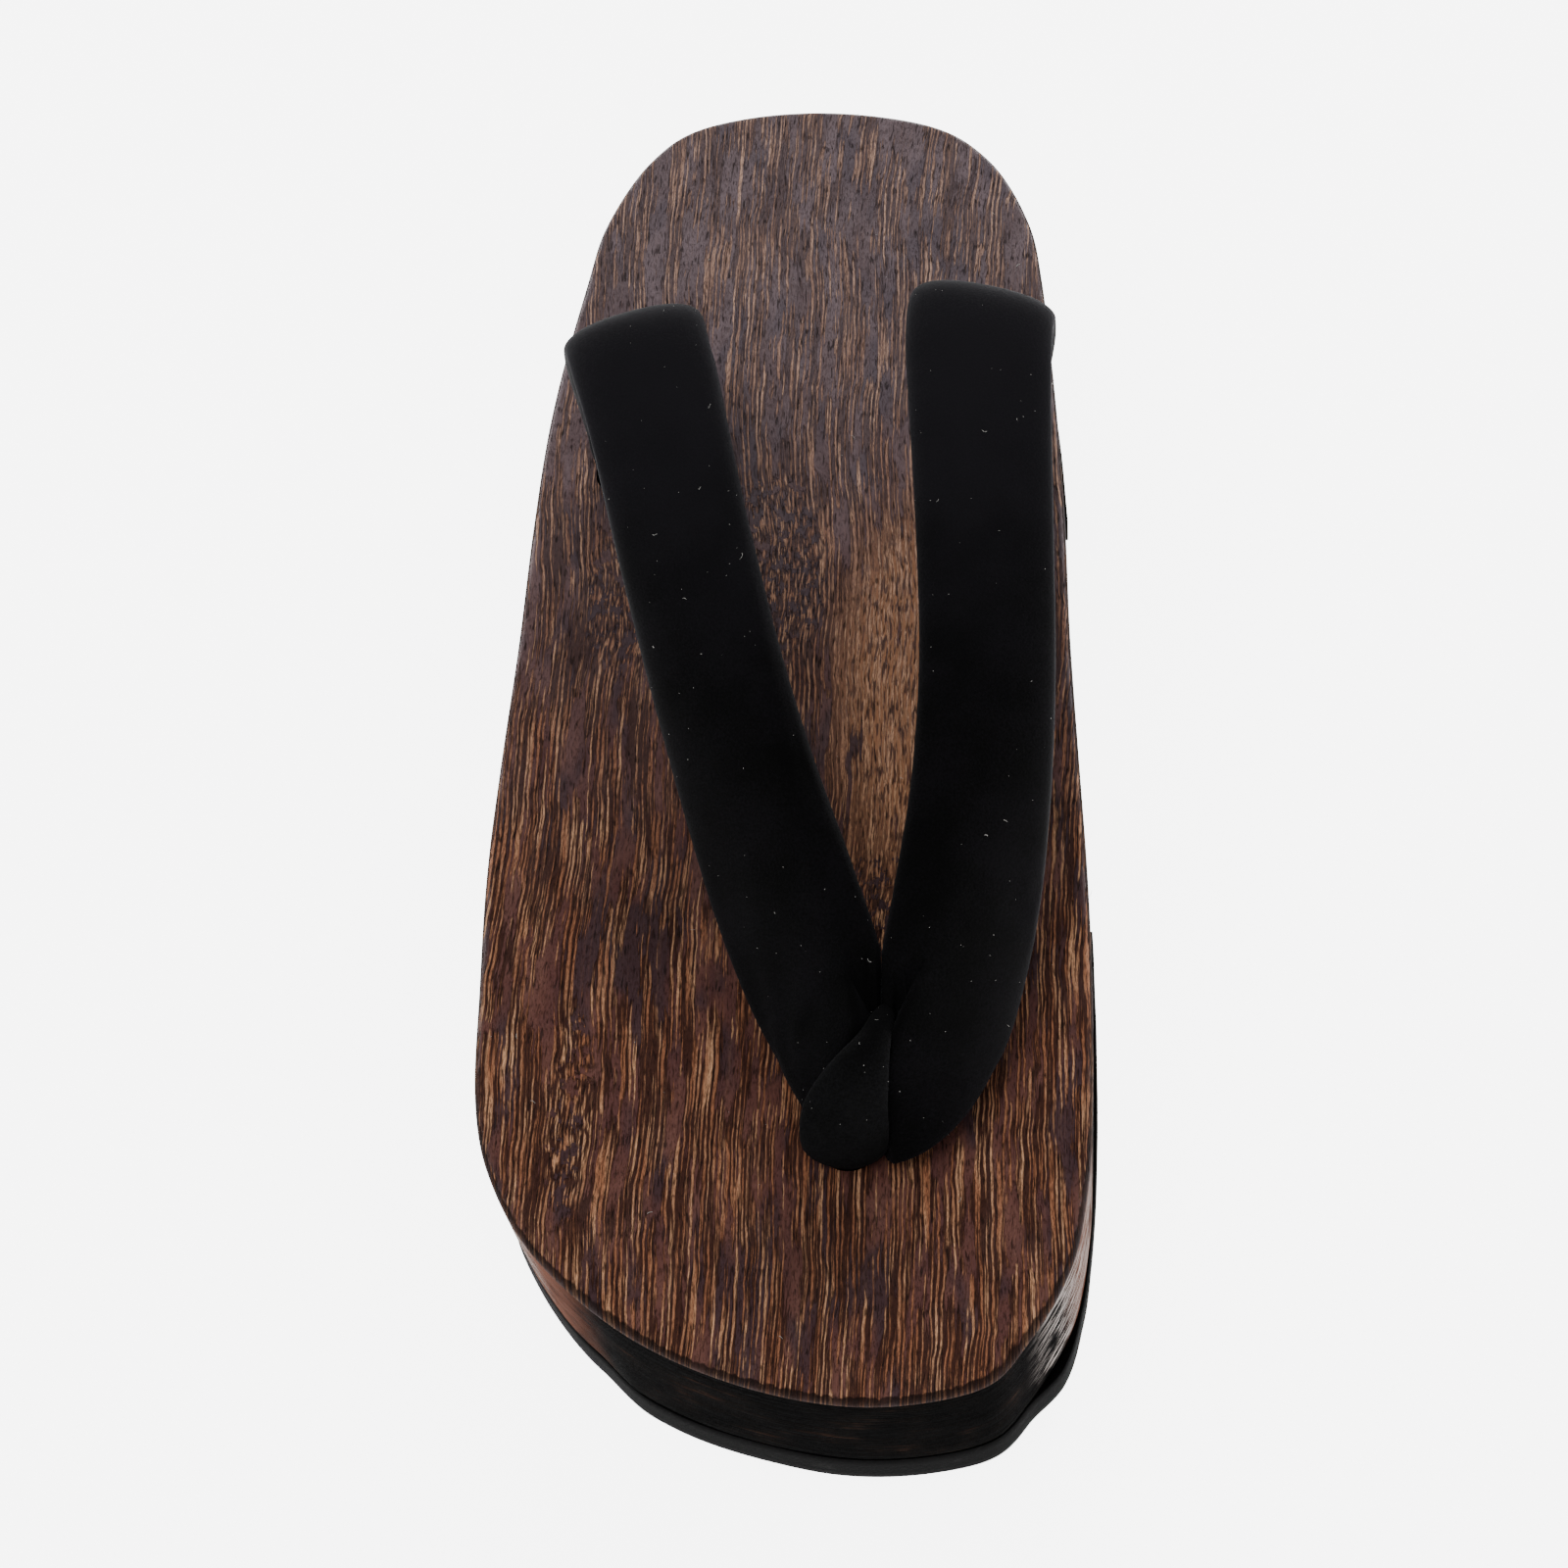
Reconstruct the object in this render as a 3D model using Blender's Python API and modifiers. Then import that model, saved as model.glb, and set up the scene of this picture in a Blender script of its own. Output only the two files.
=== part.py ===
"""A right-foot geta: a scorched wooden platform on two rubber pads, with a padded velvet thong.

The toe points along -Y, the heel along +Y and the big-toe side along +X. The floor is z = 0.
Lengths are metres. The tables hold shares of the named sizes, and their angles are degrees.
"""

import math
from collections import namedtuple

import bmesh
import bpy
from mathutils import Vector

# Platform
LENGTH = 0.275
WIDTH = 0.1093
TOE_HEIGHT = 0.036
HEEL_HEIGHT = 0.045
TOP_SAG = 0.0025
EDGE_RADIUS = 0.0014
ARCH_RISE = 0.012
ARCH_FULLNESS = 2.6

# Rubber pads
PAD_THICKNESS = 0.008
FRONT_PAD_LENGTH = 0.106
HEEL_PAD_LENGTH = 0.075
PAD_TRIM = 0.002
TOE_SPRING = 0.0025
TOE_SPRING_LENGTH = 0.030
HEEL_SPRING = 0.0010
HEEL_SPRING_LENGTH = 0.014

# Thong, front loop, holes and cord knots
STRAP_RISE = 0.040
STRAP_WIDTH = 0.0265
STRAP_THICKNESS = 0.0092
LOOP_WIDTH = 0.0135
LOOP_THICKNESS = 0.0040
HOLE_RADIUS = 0.0054
ARM_TAIL_SHOWS = 0.0017
LOOP_TAIL_SHOWS = 0.0032
RECESS_RADIUS = 0.0092
RECESS_DEPTH = 0.0080
KNOT_RADIUS = 0.0078
KNOT_HEIGHT = 0.0070
GAP = 0.0003

# Facets
OUTLINE_STEPS = 3
SECTION_STEPS = 3
SECTION_SIDES = 16
SECTION_SQUARENESS = 2.5
ROUND_SIDES = 24
EDGE_STEPS = 3
SMOOTH_BELOW_ANGLE = 40
ROUNDED_ABOVE_ANGLE = 50

HALF_LENGTH = LENGTH / 2
HALF_WIDTH = WIDTH / 2
TAIL_RADIUS = HOLE_RADIUS - GAP
ARCH_START = FRONT_PAD_LENGTH - HALF_LENGTH
ARCH_END = HALF_LENGTH - HEEL_PAD_LENGTH

# The outline from the toe tip to the heel tip: along is a share of the length, and inner and
# outer are how far each edge lies from the middle, as shares of half the width.
Edge = namedtuple("Edge", "along inner outer")
OUTLINE = [
    Edge(0.000, 0.310, 0.310),
    Edge(0.012, 0.655, -0.060),
    Edge(0.043, 0.805, -0.417),
    Edge(0.094, 0.937, -0.725),
    Edge(0.148, 0.986, -0.895),
    Edge(0.204, 0.999, -0.968),
    Edge(0.286, 0.998, -0.988),
    Edge(0.371, 0.981, -1.000),
    Edge(0.460, 0.951, -0.984),
    Edge(0.552, 0.921, -0.962),
    Edge(0.647, 0.901, -0.948),
    Edge(0.746, 0.866, -0.911),
    Edge(0.849, 0.814, -0.828),
    Edge(0.902, 0.760, -0.770),
    Edge(0.956, 0.615, -0.634),
    Edge(0.988, 0.386, -0.435),
    Edge(1.000, -0.045, -0.045),
]

# How far the hand-trimmed pads stand out past the wood, as shares of PAD_TRIM. Where they were
# trimmed back, the wood's lower edge was too.
TRIM = [
    Edge(0.000, -0.1, -0.1),
    Edge(0.040, 0.1, 0.1),
    Edge(0.070, 0.8, -0.7),
    Edge(0.110, 0.3, -1.0),
    Edge(0.170, 0.2, -0.8),
    Edge(0.250, 0.4, 0.0),
    Edge(0.400, 0.5, 0.2),
    Edge(0.720, 0.9, 0.2),
    Edge(0.870, 0.8, 0.2),
    Edge(0.950, 0.2, 0.2),
    Edge(1.000, 0.2, 0.2),
]

# The strap holes: shares of the length and of half the width.
Hole = namedtuple("Hole", "name along across")
FRONT_HOLE = Hole("front", 0.174, 0.235)
INNER_HOLE = Hole("inner", 0.696, 0.690)
OUTER_HOLE = Hole("outer", 0.684, -0.640)

# Sections from the fold to the rear holes. along and across are shares of the length and of half
# the width. rise is the middle's height over the wood as a share of STRAP_RISE. width and thick
# are shares of the strap's own. roll lifts the width's inner edge and yaw turns it seen from above.
Section = namedtuple("Section", "along across rise width thick roll yaw")
OUTER_ARM = [
    Section(0.1660, 0.380, 0.190, 0.30, 0.62, 10, 0),
    Section(0.1780, 0.312, 0.220, 0.56, 0.80, 34, 0),
    Section(0.2060, 0.225, 0.280, 0.84, 0.92, 42, 0),
    Section(0.2500, 0.130, 0.350, 1.00, 1.00, 38, 0),
    Section(0.3090, 0.025, 0.450, 1.01, 1.00, 28, 0),
    Section(0.3780, -0.090, 0.590, 0.98, 1.00, 20, 0),
    Section(0.4550, -0.210, 0.740, 0.95, 1.00, 14, 0),
    Section(0.5380, -0.325, 0.885, 0.94, 1.00, 8, 6),
    Section(0.6150, -0.425, 0.990, 0.95, 1.00, 4, 12),
    Section(0.6650, -0.492, 1.010, 0.98, 1.00, 2, 17),
    Section(0.6970, -0.535, 0.925, 0.99, 1.00, 0, 19),
    Section(0.7080, -0.570, 0.700, 0.93, 1.00, 0, 19),
    Section(0.7060, -0.605, 0.430, 0.74, 1.00, 0, 16),
    Section(0.6900, -0.634, 0.180, 0.48, 1.00, 0, 10),
]
INNER_ARM = [
    Section(0.1660, 0.345, 0.190, 0.30, 0.62, -10, 0),
    Section(0.1780, 0.415, 0.220, 0.56, 0.80, -34, 0),
    Section(0.2060, 0.487, 0.280, 0.84, 0.92, -42, 0),
    Section(0.2500, 0.560, 0.350, 1.00, 1.00, -38, 0),
    Section(0.3090, 0.607, 0.450, 0.99, 1.00, -28, 0),
    Section(0.3780, 0.645, 0.590, 0.95, 1.00, -20, 0),
    Section(0.4550, 0.662, 0.750, 0.92, 1.00, -12, 0),
    Section(0.5450, 0.650, 0.905, 0.93, 1.00, -6, -4),
    Section(0.6270, 0.633, 1.010, 0.97, 1.00, -2, -9),
    Section(0.6790, 0.625, 1.030, 1.01, 1.00, 0, -13),
    Section(0.7130, 0.632, 0.945, 1.02, 1.00, 0, -15),
    Section(0.7240, 0.650, 0.710, 0.95, 1.00, 0, -15),
    Section(0.7200, 0.670, 0.430, 0.75, 1.00, 0, -12),
    Section(0.7030, 0.685, 0.180, 0.48, 1.00, 0, -8),
]

# The front loop, from the hole up in front of the fold, back over it, down between the arms and
# forward on the wood. rise is a share of STRAP_RISE and lift of LOOP_THICKNESS: they add up.
Turn = namedtuple("Turn", "along across rise lift width thick")
FRONT_LOOP = [
    Turn(0.1680, 0.235, 0.00, 0.6, 0.70, 1.10),
    Turn(0.1650, 0.232, 0.10, 0.3, 0.92, 1.15),
    Turn(0.1680, 0.236, 0.24, 0.2, 1.03, 1.15),
    Turn(0.1810, 0.262, 0.36, 0.2, 0.92, 1.10),
    Turn(0.2000, 0.305, 0.43, 0.3, 0.66, 1.00),
    Turn(0.2220, 0.345, 0.46, 0.4, 0.42, 1.00),
    Turn(0.2440, 0.365, 0.41, 0.4, 0.32, 1.00),
    Turn(0.2540, 0.368, 0.26, 0.2, 0.32, 0.90),
    Turn(0.2430, 0.350, 0.09, 0.3, 0.38, 0.75),
    Turn(0.2180, 0.305, 0.00, 0.7, 0.48, 0.68),
    Turn(0.1860, 0.250, 0.00, 0.7, 0.50, 0.68),
]


def clear_scene():
    for obj in list(bpy.data.objects):
        bpy.data.objects.remove(obj, do_unlink=True)


def make_material(name, colour, roughness):
    """A plain finish with no metal in it."""
    material = bpy.data.materials.new(name)
    material.use_nodes = True
    shader = material.node_tree.nodes["Principled BSDF"]
    shader.inputs["Base Color"].default_value = (*colour, 1.0)
    shader.inputs["Roughness"].default_value = roughness
    shader.inputs["Metallic"].default_value = 0.0
    return material


def add_object(name, bm, collection, material=None):
    """Turn a bmesh into a named object, smooth apart from its sharp edges."""
    bmesh.ops.recalc_face_normals(bm, faces=bm.faces)
    mesh = bpy.data.meshes.new(name)
    bm.to_mesh(mesh)
    bm.free()
    mesh.shade_smooth()
    mesh.set_sharp_from_angle(angle=math.radians(SMOOTH_BELOW_ANGLE))
    if material:
        mesh.materials.append(material)
    obj = bpy.data.objects.new(name, mesh)
    collection.objects.link(obj)
    return obj


def add_boolean(obj, operation, name, bm, cutters):
    """An exact Boolean with a helper solid, also where a tight bend folds a solid on itself."""
    cutter = add_object(name, bm, cutters)
    cutter.hide_render = True
    cutter.display_type = "WIRE"
    modifier = obj.modifiers.new(name, "BOOLEAN")
    modifier.object = cutter
    modifier.operation = operation
    modifier.use_self = True


def add_edge_rounding(obj, radius, steps):
    """Round the edges where two faces meet steeply."""
    modifier = obj.modifiers.new("Edge rounding", "BEVEL")
    modifier.width = radius
    modifier.segments = steps
    modifier.limit_method = "ANGLE"
    modifier.angle_limit = math.radians(ROUNDED_ABOVE_ANGLE)


def between(before, start, end, after, t):
    """Catmull-Rom value between start and end, from the numbers on each side of them."""
    slope_in = (end - before) / 2
    slope_out = (after - start) / 2
    square = 3 * (end - start) - 2 * slope_in - slope_out
    cube = slope_in + slope_out - 2 * (end - start)
    return start + t * (slope_in + t * (square + t * cube))


def smooth_rows(rows, steps):
    """Rows on a smooth curve through an open list of rows of numbers."""
    last = len(rows) - 1
    result = []
    for i in range(last):
        four = [rows[max(i - 1, 0)], rows[i], rows[i + 1], rows[min(i + 2, last)]]
        for step in range(steps):
            result.append([between(*values, step / steps) for values in zip(*four)])
    result.append(list(rows[-1]))
    return result


def smooth_loop(points, steps):
    """Points on a smooth closed curve through a closed list of points."""
    count = len(points)
    result = []
    for i in range(count):
        four = [points[(i + shift) % count] for shift in (-1, 0, 1, 2)]
        for step in range(steps):
            result.append([between(*values, step / steps) for values in zip(*four)])
    return result


def y_at(along):
    """The y of a share of the length, counted from the toe tip."""
    return (along - 0.5) * LENGTH


def top_height(y):
    """The wood's upper face: a straight rise to the heel with a gentle hollow."""
    along = y / LENGTH + 0.5
    return TOE_HEIGHT + (HEEL_HEIGHT - TOE_HEIGHT) * along - TOP_SAG * 4 * along * (1 - along)


def pad_bottom(y):
    """The pads' lower faces: flat on the floor, curling off it at the toe and the heel."""
    toe = max(0.0, 1 - (HALF_LENGTH + y) / TOE_SPRING_LENGTH)
    heel = max(0.0, 1 - (HALF_LENGTH - y) / HEEL_SPRING_LENGTH)
    return TOE_SPRING * toe**2 + HEEL_SPRING * heel**2


def pad_top(y):
    return pad_bottom(y) + PAD_THICKNESS


def wood_bottom(y):
    """The wood's lower face: on the pads, and arched between them."""
    flat = pad_top(y) + GAP
    if not ARCH_START < y < ARCH_END:
        return flat
    from_middle = abs(2 * (y - ARCH_START) / (ARCH_END - ARCH_START) - 1)
    return flat + ARCH_RISE * (1 - from_middle**ARCH_FULLNESS)


def crossing(run, y):
    """The point where a run of outline points crosses a y."""
    for start, end in zip(run, run[1:]):
        if (start.y - y) * (end.y - y) <= 0:
            break
    return start.lerp(end, (y - start.y) / (end.y - start.y))


def outline_points():
    """The sole outline, closed: from the toe tip up the inner side and back down the outer.

    On each side, the points nearest to the arch's ends are moved along the outline onto them.
    """
    inner = [(row.inner * HALF_WIDTH, y_at(row.along)) for row in OUTLINE]
    outer = [(row.outer * HALF_WIDTH, y_at(row.along)) for row in OUTLINE[-2:0:-1]]
    points = [Vector(point) for point in smooth_loop(inner + outer, OUTLINE_STEPS)]
    heel_tip = len(points) // 2
    for y in (ARCH_START, ARCH_END):
        for side in (range(1, heel_tip), range(heel_tip + 1, len(points))):
            nearest = min(side, key=lambda i: abs(points[i].y - y))
            points[nearest] = crossing([points[i] for i in side], y)
    return points


def trim_at(y, inner_side):
    """How far a pad stands out past the wood at a y."""
    along = y / LENGTH + 0.5
    for start, end in zip(TRIM, TRIM[1:]):
        if along <= end.along:
            break
    t = (along - start.along) / (end.along - start.along)
    first, last = (start.inner, end.inner) if inner_side else (start.outer, end.outer)
    return PAD_TRIM * (first + (last - first) * t)


def trimmed(points, most=PAD_TRIM):
    """The outline moved out by the trim, up to a limit."""
    count = len(points)
    moved = []
    for i, point in enumerate(points):
        run = points[(i + 1) % count] - points[i - 1]
        normal = Vector((run.y, -run.x)).normalized()
        moved.append(point + normal * min(trim_at(point.y, i <= count // 2), most))
    return moved


def outline_end(points, y, at_heel):
    """One end of the outline, from its tip round and cut straight across at a y.

    A pair of points too near to the cut for its rounded edges is left out.
    """
    half = len(points) // 2
    if at_heel:
        points = points[half:] + points[:half]
    tip = points[0]
    there, back = points[1 : half + 1], points[: half - 1 : -1]
    outward = 1 if at_heel else -1
    pairs = []
    for pair in zip(there, back):
        if min(outward * (point.y - y) for point in pair) > EDGE_RADIUS:
            pairs.append(pair)
    cut = [crossing(there, y), crossing(back, y)]
    return [tip] + [pair[0] for pair in pairs] + cut + [pair[1] for pair in reversed(pairs)]


def sole_layer(lower, upper, bottom, top):
    """A slab between two outlines, in strips across it, whose two faces' heights follow y."""
    bm = bmesh.new()
    ring = [bm.verts.new((point.x, point.y, 0)) for point in lower]
    bm.faces.new(ring)
    for i in range(1, len(ring) // 2):
        bmesh.ops.connect_verts(bm, verts=[ring[i], ring[-i]])
    places = {vert.co.to_tuple(): point for vert, point in zip(ring, upper)}
    extruded = bmesh.ops.extrude_face_region(bm, geom=bm.faces[:])["geom"]
    for vert in [item for item in extruded if isinstance(item, bmesh.types.BMVert)]:
        point = places[vert.co.to_tuple()]
        vert.co = (point.x, point.y, top(point.y))
    for vert in ring:
        vert.co.z = bottom(vert.co.y)
    return bm


def cylinder(centre, low, high, radius):
    """A closed upright cylinder about a point."""
    bm = bmesh.new()
    bmesh.ops.create_cone(
        bm, cap_ends=True, segments=ROUND_SIDES, radius1=radius, radius2=radius, depth=high - low
    )
    bmesh.ops.translate(bm, verts=bm.verts, vec=(centre.x, centre.y, (low + high) / 2))
    return bm


def section_ring(width, thickness):
    """A padded section: a squarish oval, as pairs of across and up."""
    ring = []
    for i in range(SECTION_SIDES):
        angle = 2 * math.pi * i / SECTION_SIDES
        x, y = math.cos(angle), math.sin(angle)
        across = math.copysign(abs(x) ** (2 / SECTION_SQUARENESS), x)
        up = math.copysign(abs(y) ** (2 / SECTION_SQUARENESS), y)
        ring.append((across * width / 2, up * thickness / 2))
    return ring


def loft(rows):
    """A closed padded band through rows of x, y, z, width, thickness, roll and yaw."""
    centres = [Vector(row[:3]) for row in rows]
    bm = bmesh.new()
    rings = []
    for i, row in enumerate(rows):
        width, thickness, roll, yaw = row[3:]
        run = centres[min(i + 1, len(rows) - 1)] - centres[max(i - 1, 0)]
        run.normalize()
        tilt, turn = math.radians(roll), math.radians(yaw)
        flat = Vector((math.cos(turn), math.sin(turn), 0)) * math.cos(tilt)
        across = flat + Vector((0, 0, math.sin(tilt)))
        across = (across - run * across.dot(run)).normalized()
        up = run.cross(across)
        ring = [centres[i] + across * a + up * b for a, b in section_ring(width, thickness)]
        rings.append([bm.verts.new(point) for point in ring])
    for low, high in zip(rings, rings[1:]):
        for i in range(SECTION_SIDES):
            bm.faces.new((low[i - 1], low[i], high[i], high[i - 1]))
    bm.faces.new(rings[0])
    bm.faces.new(rings[-1])
    return bm


def hole_mouth(hole):
    """The middle of a hole on the wood's upper face."""
    y = y_at(hole.along)
    return Vector((hole.across * HALF_WIDTH, y, top_height(y)))


def knot_top(hole):
    """The upper side of the knot in the recess under a hole."""
    return wood_bottom(y_at(hole.along)) + RECESS_DEPTH - GAP


def arm(table, hole):
    """One arm of the thong, whose end goes down its hole to the knot."""
    rows = []
    for section in table:
        x = section.across * HALF_WIDTH
        y = y_at(section.along)
        z = top_height(y) + section.rise * STRAP_RISE
        width = section.width * STRAP_WIDTH
        thickness = section.thick * STRAP_THICKNESS
        rows.append((x, y, z, width, thickness, section.roll, section.yaw))
    mouth = hole_mouth(hole)
    size = 2 * TAIL_RADIUS * 2 ** (1 / SECTION_SQUARENESS - 1 / 2)
    rows = smooth_rows(rows, SECTION_STEPS)
    for z in (mouth.z + ARM_TAIL_SHOWS, knot_top(hole) + GAP):
        rows.append((mouth.x, mouth.y, z, size, size, 0, 0))
    return loft(rows)


def loop_band(clearance):
    """The front loop's band, thicker all over by a clearance."""
    rows = []
    for turn in FRONT_LOOP:
        x = turn.across * HALF_WIDTH
        y = y_at(turn.along)
        z = top_height(y) + turn.rise * STRAP_RISE + turn.lift * LOOP_THICKNESS
        width = turn.width * LOOP_WIDTH + 2 * clearance
        thickness = turn.thick * LOOP_THICKNESS + 2 * clearance
        rows.append((x, y, z, width, thickness, 0, 0))
    return loft(smooth_rows(rows, SECTION_STEPS))


def make_platform(outline, parts, cutters, wood):
    """The wooden platform with its three strap holes, each with a recess for a knot below."""
    block = sole_layer(trimmed(outline, most=0.0), outline, wood_bottom, top_height)
    platform = add_object("platform", block, parts, wood)
    add_edge_rounding(platform, EDGE_RADIUS, EDGE_STEPS)
    for hole in (FRONT_HOLE, INNER_HOLE, OUTER_HOLE):
        mouth = hole_mouth(hole)
        bore = cylinder(mouth, 0, mouth.z + RECESS_DEPTH, HOLE_RADIUS)
        add_boolean(platform, "DIFFERENCE", hole.name + "_bore", bore, cutters)
        recess = cylinder(mouth, 0, wood_bottom(mouth.y) + RECESS_DEPTH, RECESS_RADIUS)
        add_boolean(platform, "DIFFERENCE", hole.name + "_recess", recess, cutters)


def make_pads(outline, parts, cutters, rubber):
    """The two rubber pads, cut straight across where the arch begins and ends."""
    ends = {
        "front_sole_pad": outline_end(trimmed(outline), ARCH_START, False),
        "heel_sole_pad": outline_end(trimmed(outline), ARCH_END, True),
    }
    pads = {}
    for name, edge in ends.items():
        pads[name] = add_object(name, sole_layer(edge, edge, pad_bottom, pad_top), parts, rubber)
        add_edge_rounding(pads[name], EDGE_RADIUS / 2, EDGE_STEPS - 1)
    mouth = hole_mouth(FRONT_HOLE)
    window = cylinder(mouth, -PAD_THICKNESS, 2 * PAD_THICKNESS, RECESS_RADIUS)
    add_boolean(pads["front_sole_pad"], "DIFFERENCE", "knot_window", window, cutters)


def loop_tail(clearance):
    """The loop's two ends, pressed together in the front hole, thicker by a clearance."""
    mouth = hole_mouth(FRONT_HOLE)
    low = knot_top(FRONT_HOLE) + GAP
    high = mouth.z + LOOP_TAIL_SHOWS + clearance
    return cylinder(mouth, low, high, TAIL_RADIUS + clearance)


def make_thong(parts, cutters, velvet):
    """The two padded arms, joined at the fold, which the front loop presses in."""
    thong = add_object("thong_straps", arm(OUTER_ARM, OUTER_HOLE), parts, velvet)
    add_boolean(thong, "UNION", "inner_arm", arm(INNER_ARM, INNER_HOLE), cutters)
    add_boolean(thong, "DIFFERENCE", "loop_groove", loop_band(GAP), cutters)
    add_boolean(thong, "DIFFERENCE", "tail_groove", loop_tail(GAP), cutters)


def make_front_loop(parts, cutters, velvet):
    """The short band that holds the fold down, with both ends in the front hole."""
    loop = add_object("front_loop", loop_band(0), parts, velvet)
    add_boolean(loop, "UNION", "loop_tail", loop_tail(0), cutters)


def make_knots(parts, cord):
    """The cord knots under the wood that keep the straps in their holes."""
    for hole in (FRONT_HOLE, INNER_HOLE, OUTER_HOLE):
        bm = bmesh.new()
        bmesh.ops.create_uvsphere(bm, u_segments=16, v_segments=10, radius=1.0)
        bmesh.ops.scale(bm, verts=bm.verts, vec=(KNOT_RADIUS, KNOT_RADIUS, KNOT_HEIGHT / 2))
        mouth = hole_mouth(hole)
        centre = (mouth.x, mouth.y, knot_top(hole) - KNOT_HEIGHT / 2)
        bmesh.ops.translate(bm, verts=bm.verts, vec=centre)
        add_object(hole.name + "_cord_knot", bm, parts, cord)


def main():
    clear_scene()
    parts = bpy.data.collections.new("geta_sandal")
    cutters = bpy.data.collections.new("cutters")
    bpy.context.scene.collection.children.link(parts)
    bpy.context.scene.collection.children.link(cutters)
    wood = make_material("scorched_wood", (0.13, 0.062, 0.034), 0.45)
    rubber = make_material("black_rubber", (0.018, 0.018, 0.019), 0.75)
    velvet = make_material("black_velvet", (0.008, 0.008, 0.009), 0.95)
    cord = make_material("black_cord", (0.02, 0.02, 0.022), 0.9)

    outline = outline_points()
    make_platform(outline, parts, cutters, wood)
    make_pads(outline, parts, cutters, rubber)
    make_thong(parts, cutters, velvet)
    make_front_loop(parts, cutters, velvet)
    make_knots(parts, cord)


main()
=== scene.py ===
import math

import bmesh
import bpy
from mathutils import Matrix, Vector, noise


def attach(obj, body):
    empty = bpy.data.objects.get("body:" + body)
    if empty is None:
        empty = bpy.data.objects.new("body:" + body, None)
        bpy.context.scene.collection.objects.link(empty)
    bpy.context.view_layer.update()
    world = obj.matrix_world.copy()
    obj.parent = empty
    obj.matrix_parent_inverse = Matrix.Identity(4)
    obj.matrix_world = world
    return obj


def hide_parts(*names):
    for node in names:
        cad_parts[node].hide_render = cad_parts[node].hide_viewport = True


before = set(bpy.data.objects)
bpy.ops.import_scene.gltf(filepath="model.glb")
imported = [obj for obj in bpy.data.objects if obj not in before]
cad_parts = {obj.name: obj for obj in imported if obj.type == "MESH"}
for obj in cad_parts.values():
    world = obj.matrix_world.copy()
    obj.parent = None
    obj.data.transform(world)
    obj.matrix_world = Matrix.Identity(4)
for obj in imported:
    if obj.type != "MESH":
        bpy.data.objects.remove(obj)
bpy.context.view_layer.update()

print("frame loaded:", ", ".join(sorted(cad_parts)))


def fromHex(code):
    # an sRGB hex colour as linear RGBA
    parts = [int(code[i:i + 2], 16) / 255 for i in (1, 3, 5)]
    return (*[c / 12.92 if c <= 0.04045 else ((c + 0.055) / 1.055) ** 2.4 for c in parts], 1.0)


def fillIn(tree, node, values):
    # values and links, by the sockets' names or in the order in which the node shows them
    shown = [socket for socket in node.inputs if socket.enabled]
    for key, value in values.items() if isinstance(values, dict) else enumerate(values):
        socket = node.inputs[key] if isinstance(key, str) else shown[key]
        if isinstance(value, bpy.types.Node):
            value = next(made for made in value.outputs if made.enabled)  # its first output
        if isinstance(value, bpy.types.NodeSocket):
            tree.links.new(value, socket)
        else:
            socket.default_value = fromHex(value) if isinstance(value, str) else value


def addNode(tree, kind, values=(), stops=(), **settings):
    # adds a node with its settings, colour stops, values and links
    node = tree.nodes.new(kind)
    for name, value in settings.items():
        setattr(node, name, value)
    for i, (place, colour) in enumerate(stops):
        ramp = node.color_ramp.elements
        stop = ramp[i] if i < len(ramp) else ramp.new(1.0)
        stop.position, stop.color = place, fromHex(colour)
    fillIn(tree, node, values)
    return node


def newMaterial(name):
    material = bpy.data.materials.new(name)
    material.use_nodes = True
    tree = material.node_tree
    return material, tree, tree.nodes["Principled BSDF"]


def curveValue(before, start, end, after, t):
    # Catmull-Rom between start and end
    slopeIn, slopeOut = (end - before) / 2, (after - start) / 2
    square = 3 * (end - start) - 2 * slopeIn - slopeOut
    cube = slopeIn + slopeOut - 2 * (end - start)
    return start + t * (slopeIn + t * (square + t * cube))


def smoothRows(rows, steps):
    last, made = len(rows) - 1, []
    for i in range(last):
        four = [rows[max(i - 1, 0)], rows[i], rows[i + 1], rows[min(i + 2, last)]]
        made += [[curveValue(*v, s / steps) for v in zip(*four)] for s in range(steps)]
    return made + [list(rows[-1])]


def smoothLoop(rows, steps):
    count, made = len(rows), []
    for i in range(count):
        four = [rows[(i + k) % count] for k in (-1, 0, 1, 2)]
        made += [[curveValue(*v, s / steps) for v in zip(*four)] for s in range(steps)]
    return made


def finishObject(bm, name, material, smoothAngle=40):
    bmesh.ops.recalc_face_normals(bm, faces=bm.faces)
    mesh = bpy.data.meshes.new(name)
    bm.to_mesh(mesh)
    bm.free()
    mesh.shade_smooth()
    mesh.set_sharp_from_angle(angle=math.radians(smoothAngle))
    mesh.materials.append(material)
    piece = bpy.data.objects.new(name, mesh)
    bpy.context.scene.collection.objects.link(piece)
    return piece


def plainMesh(piece):
    # the evaluated shape as a plain mesh, and no modifiers left
    evaluated = piece.evaluated_get(bpy.context.evaluated_depsgraph_get())
    mesh = bpy.data.meshes.new_from_object(evaluated)
    old = piece.data
    piece.modifiers.clear()
    if piece.type == "MESH":
        piece.data = mesh
        mesh.name = piece.name
        return piece
    made = bpy.data.objects.new(piece.name + "Mesh", mesh)
    bpy.context.scene.collection.objects.link(made)
    bpy.data.objects.remove(piece)
    bpy.data.curves.remove(old)
    return made


def bumpy(point, size, seed=0.0):
    # smooth noise from -1 to 1, with bumps about one size across
    return noise.noise(Vector((point[0] / size + seed, point[1] / size - seed, point[2] / size)))


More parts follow.
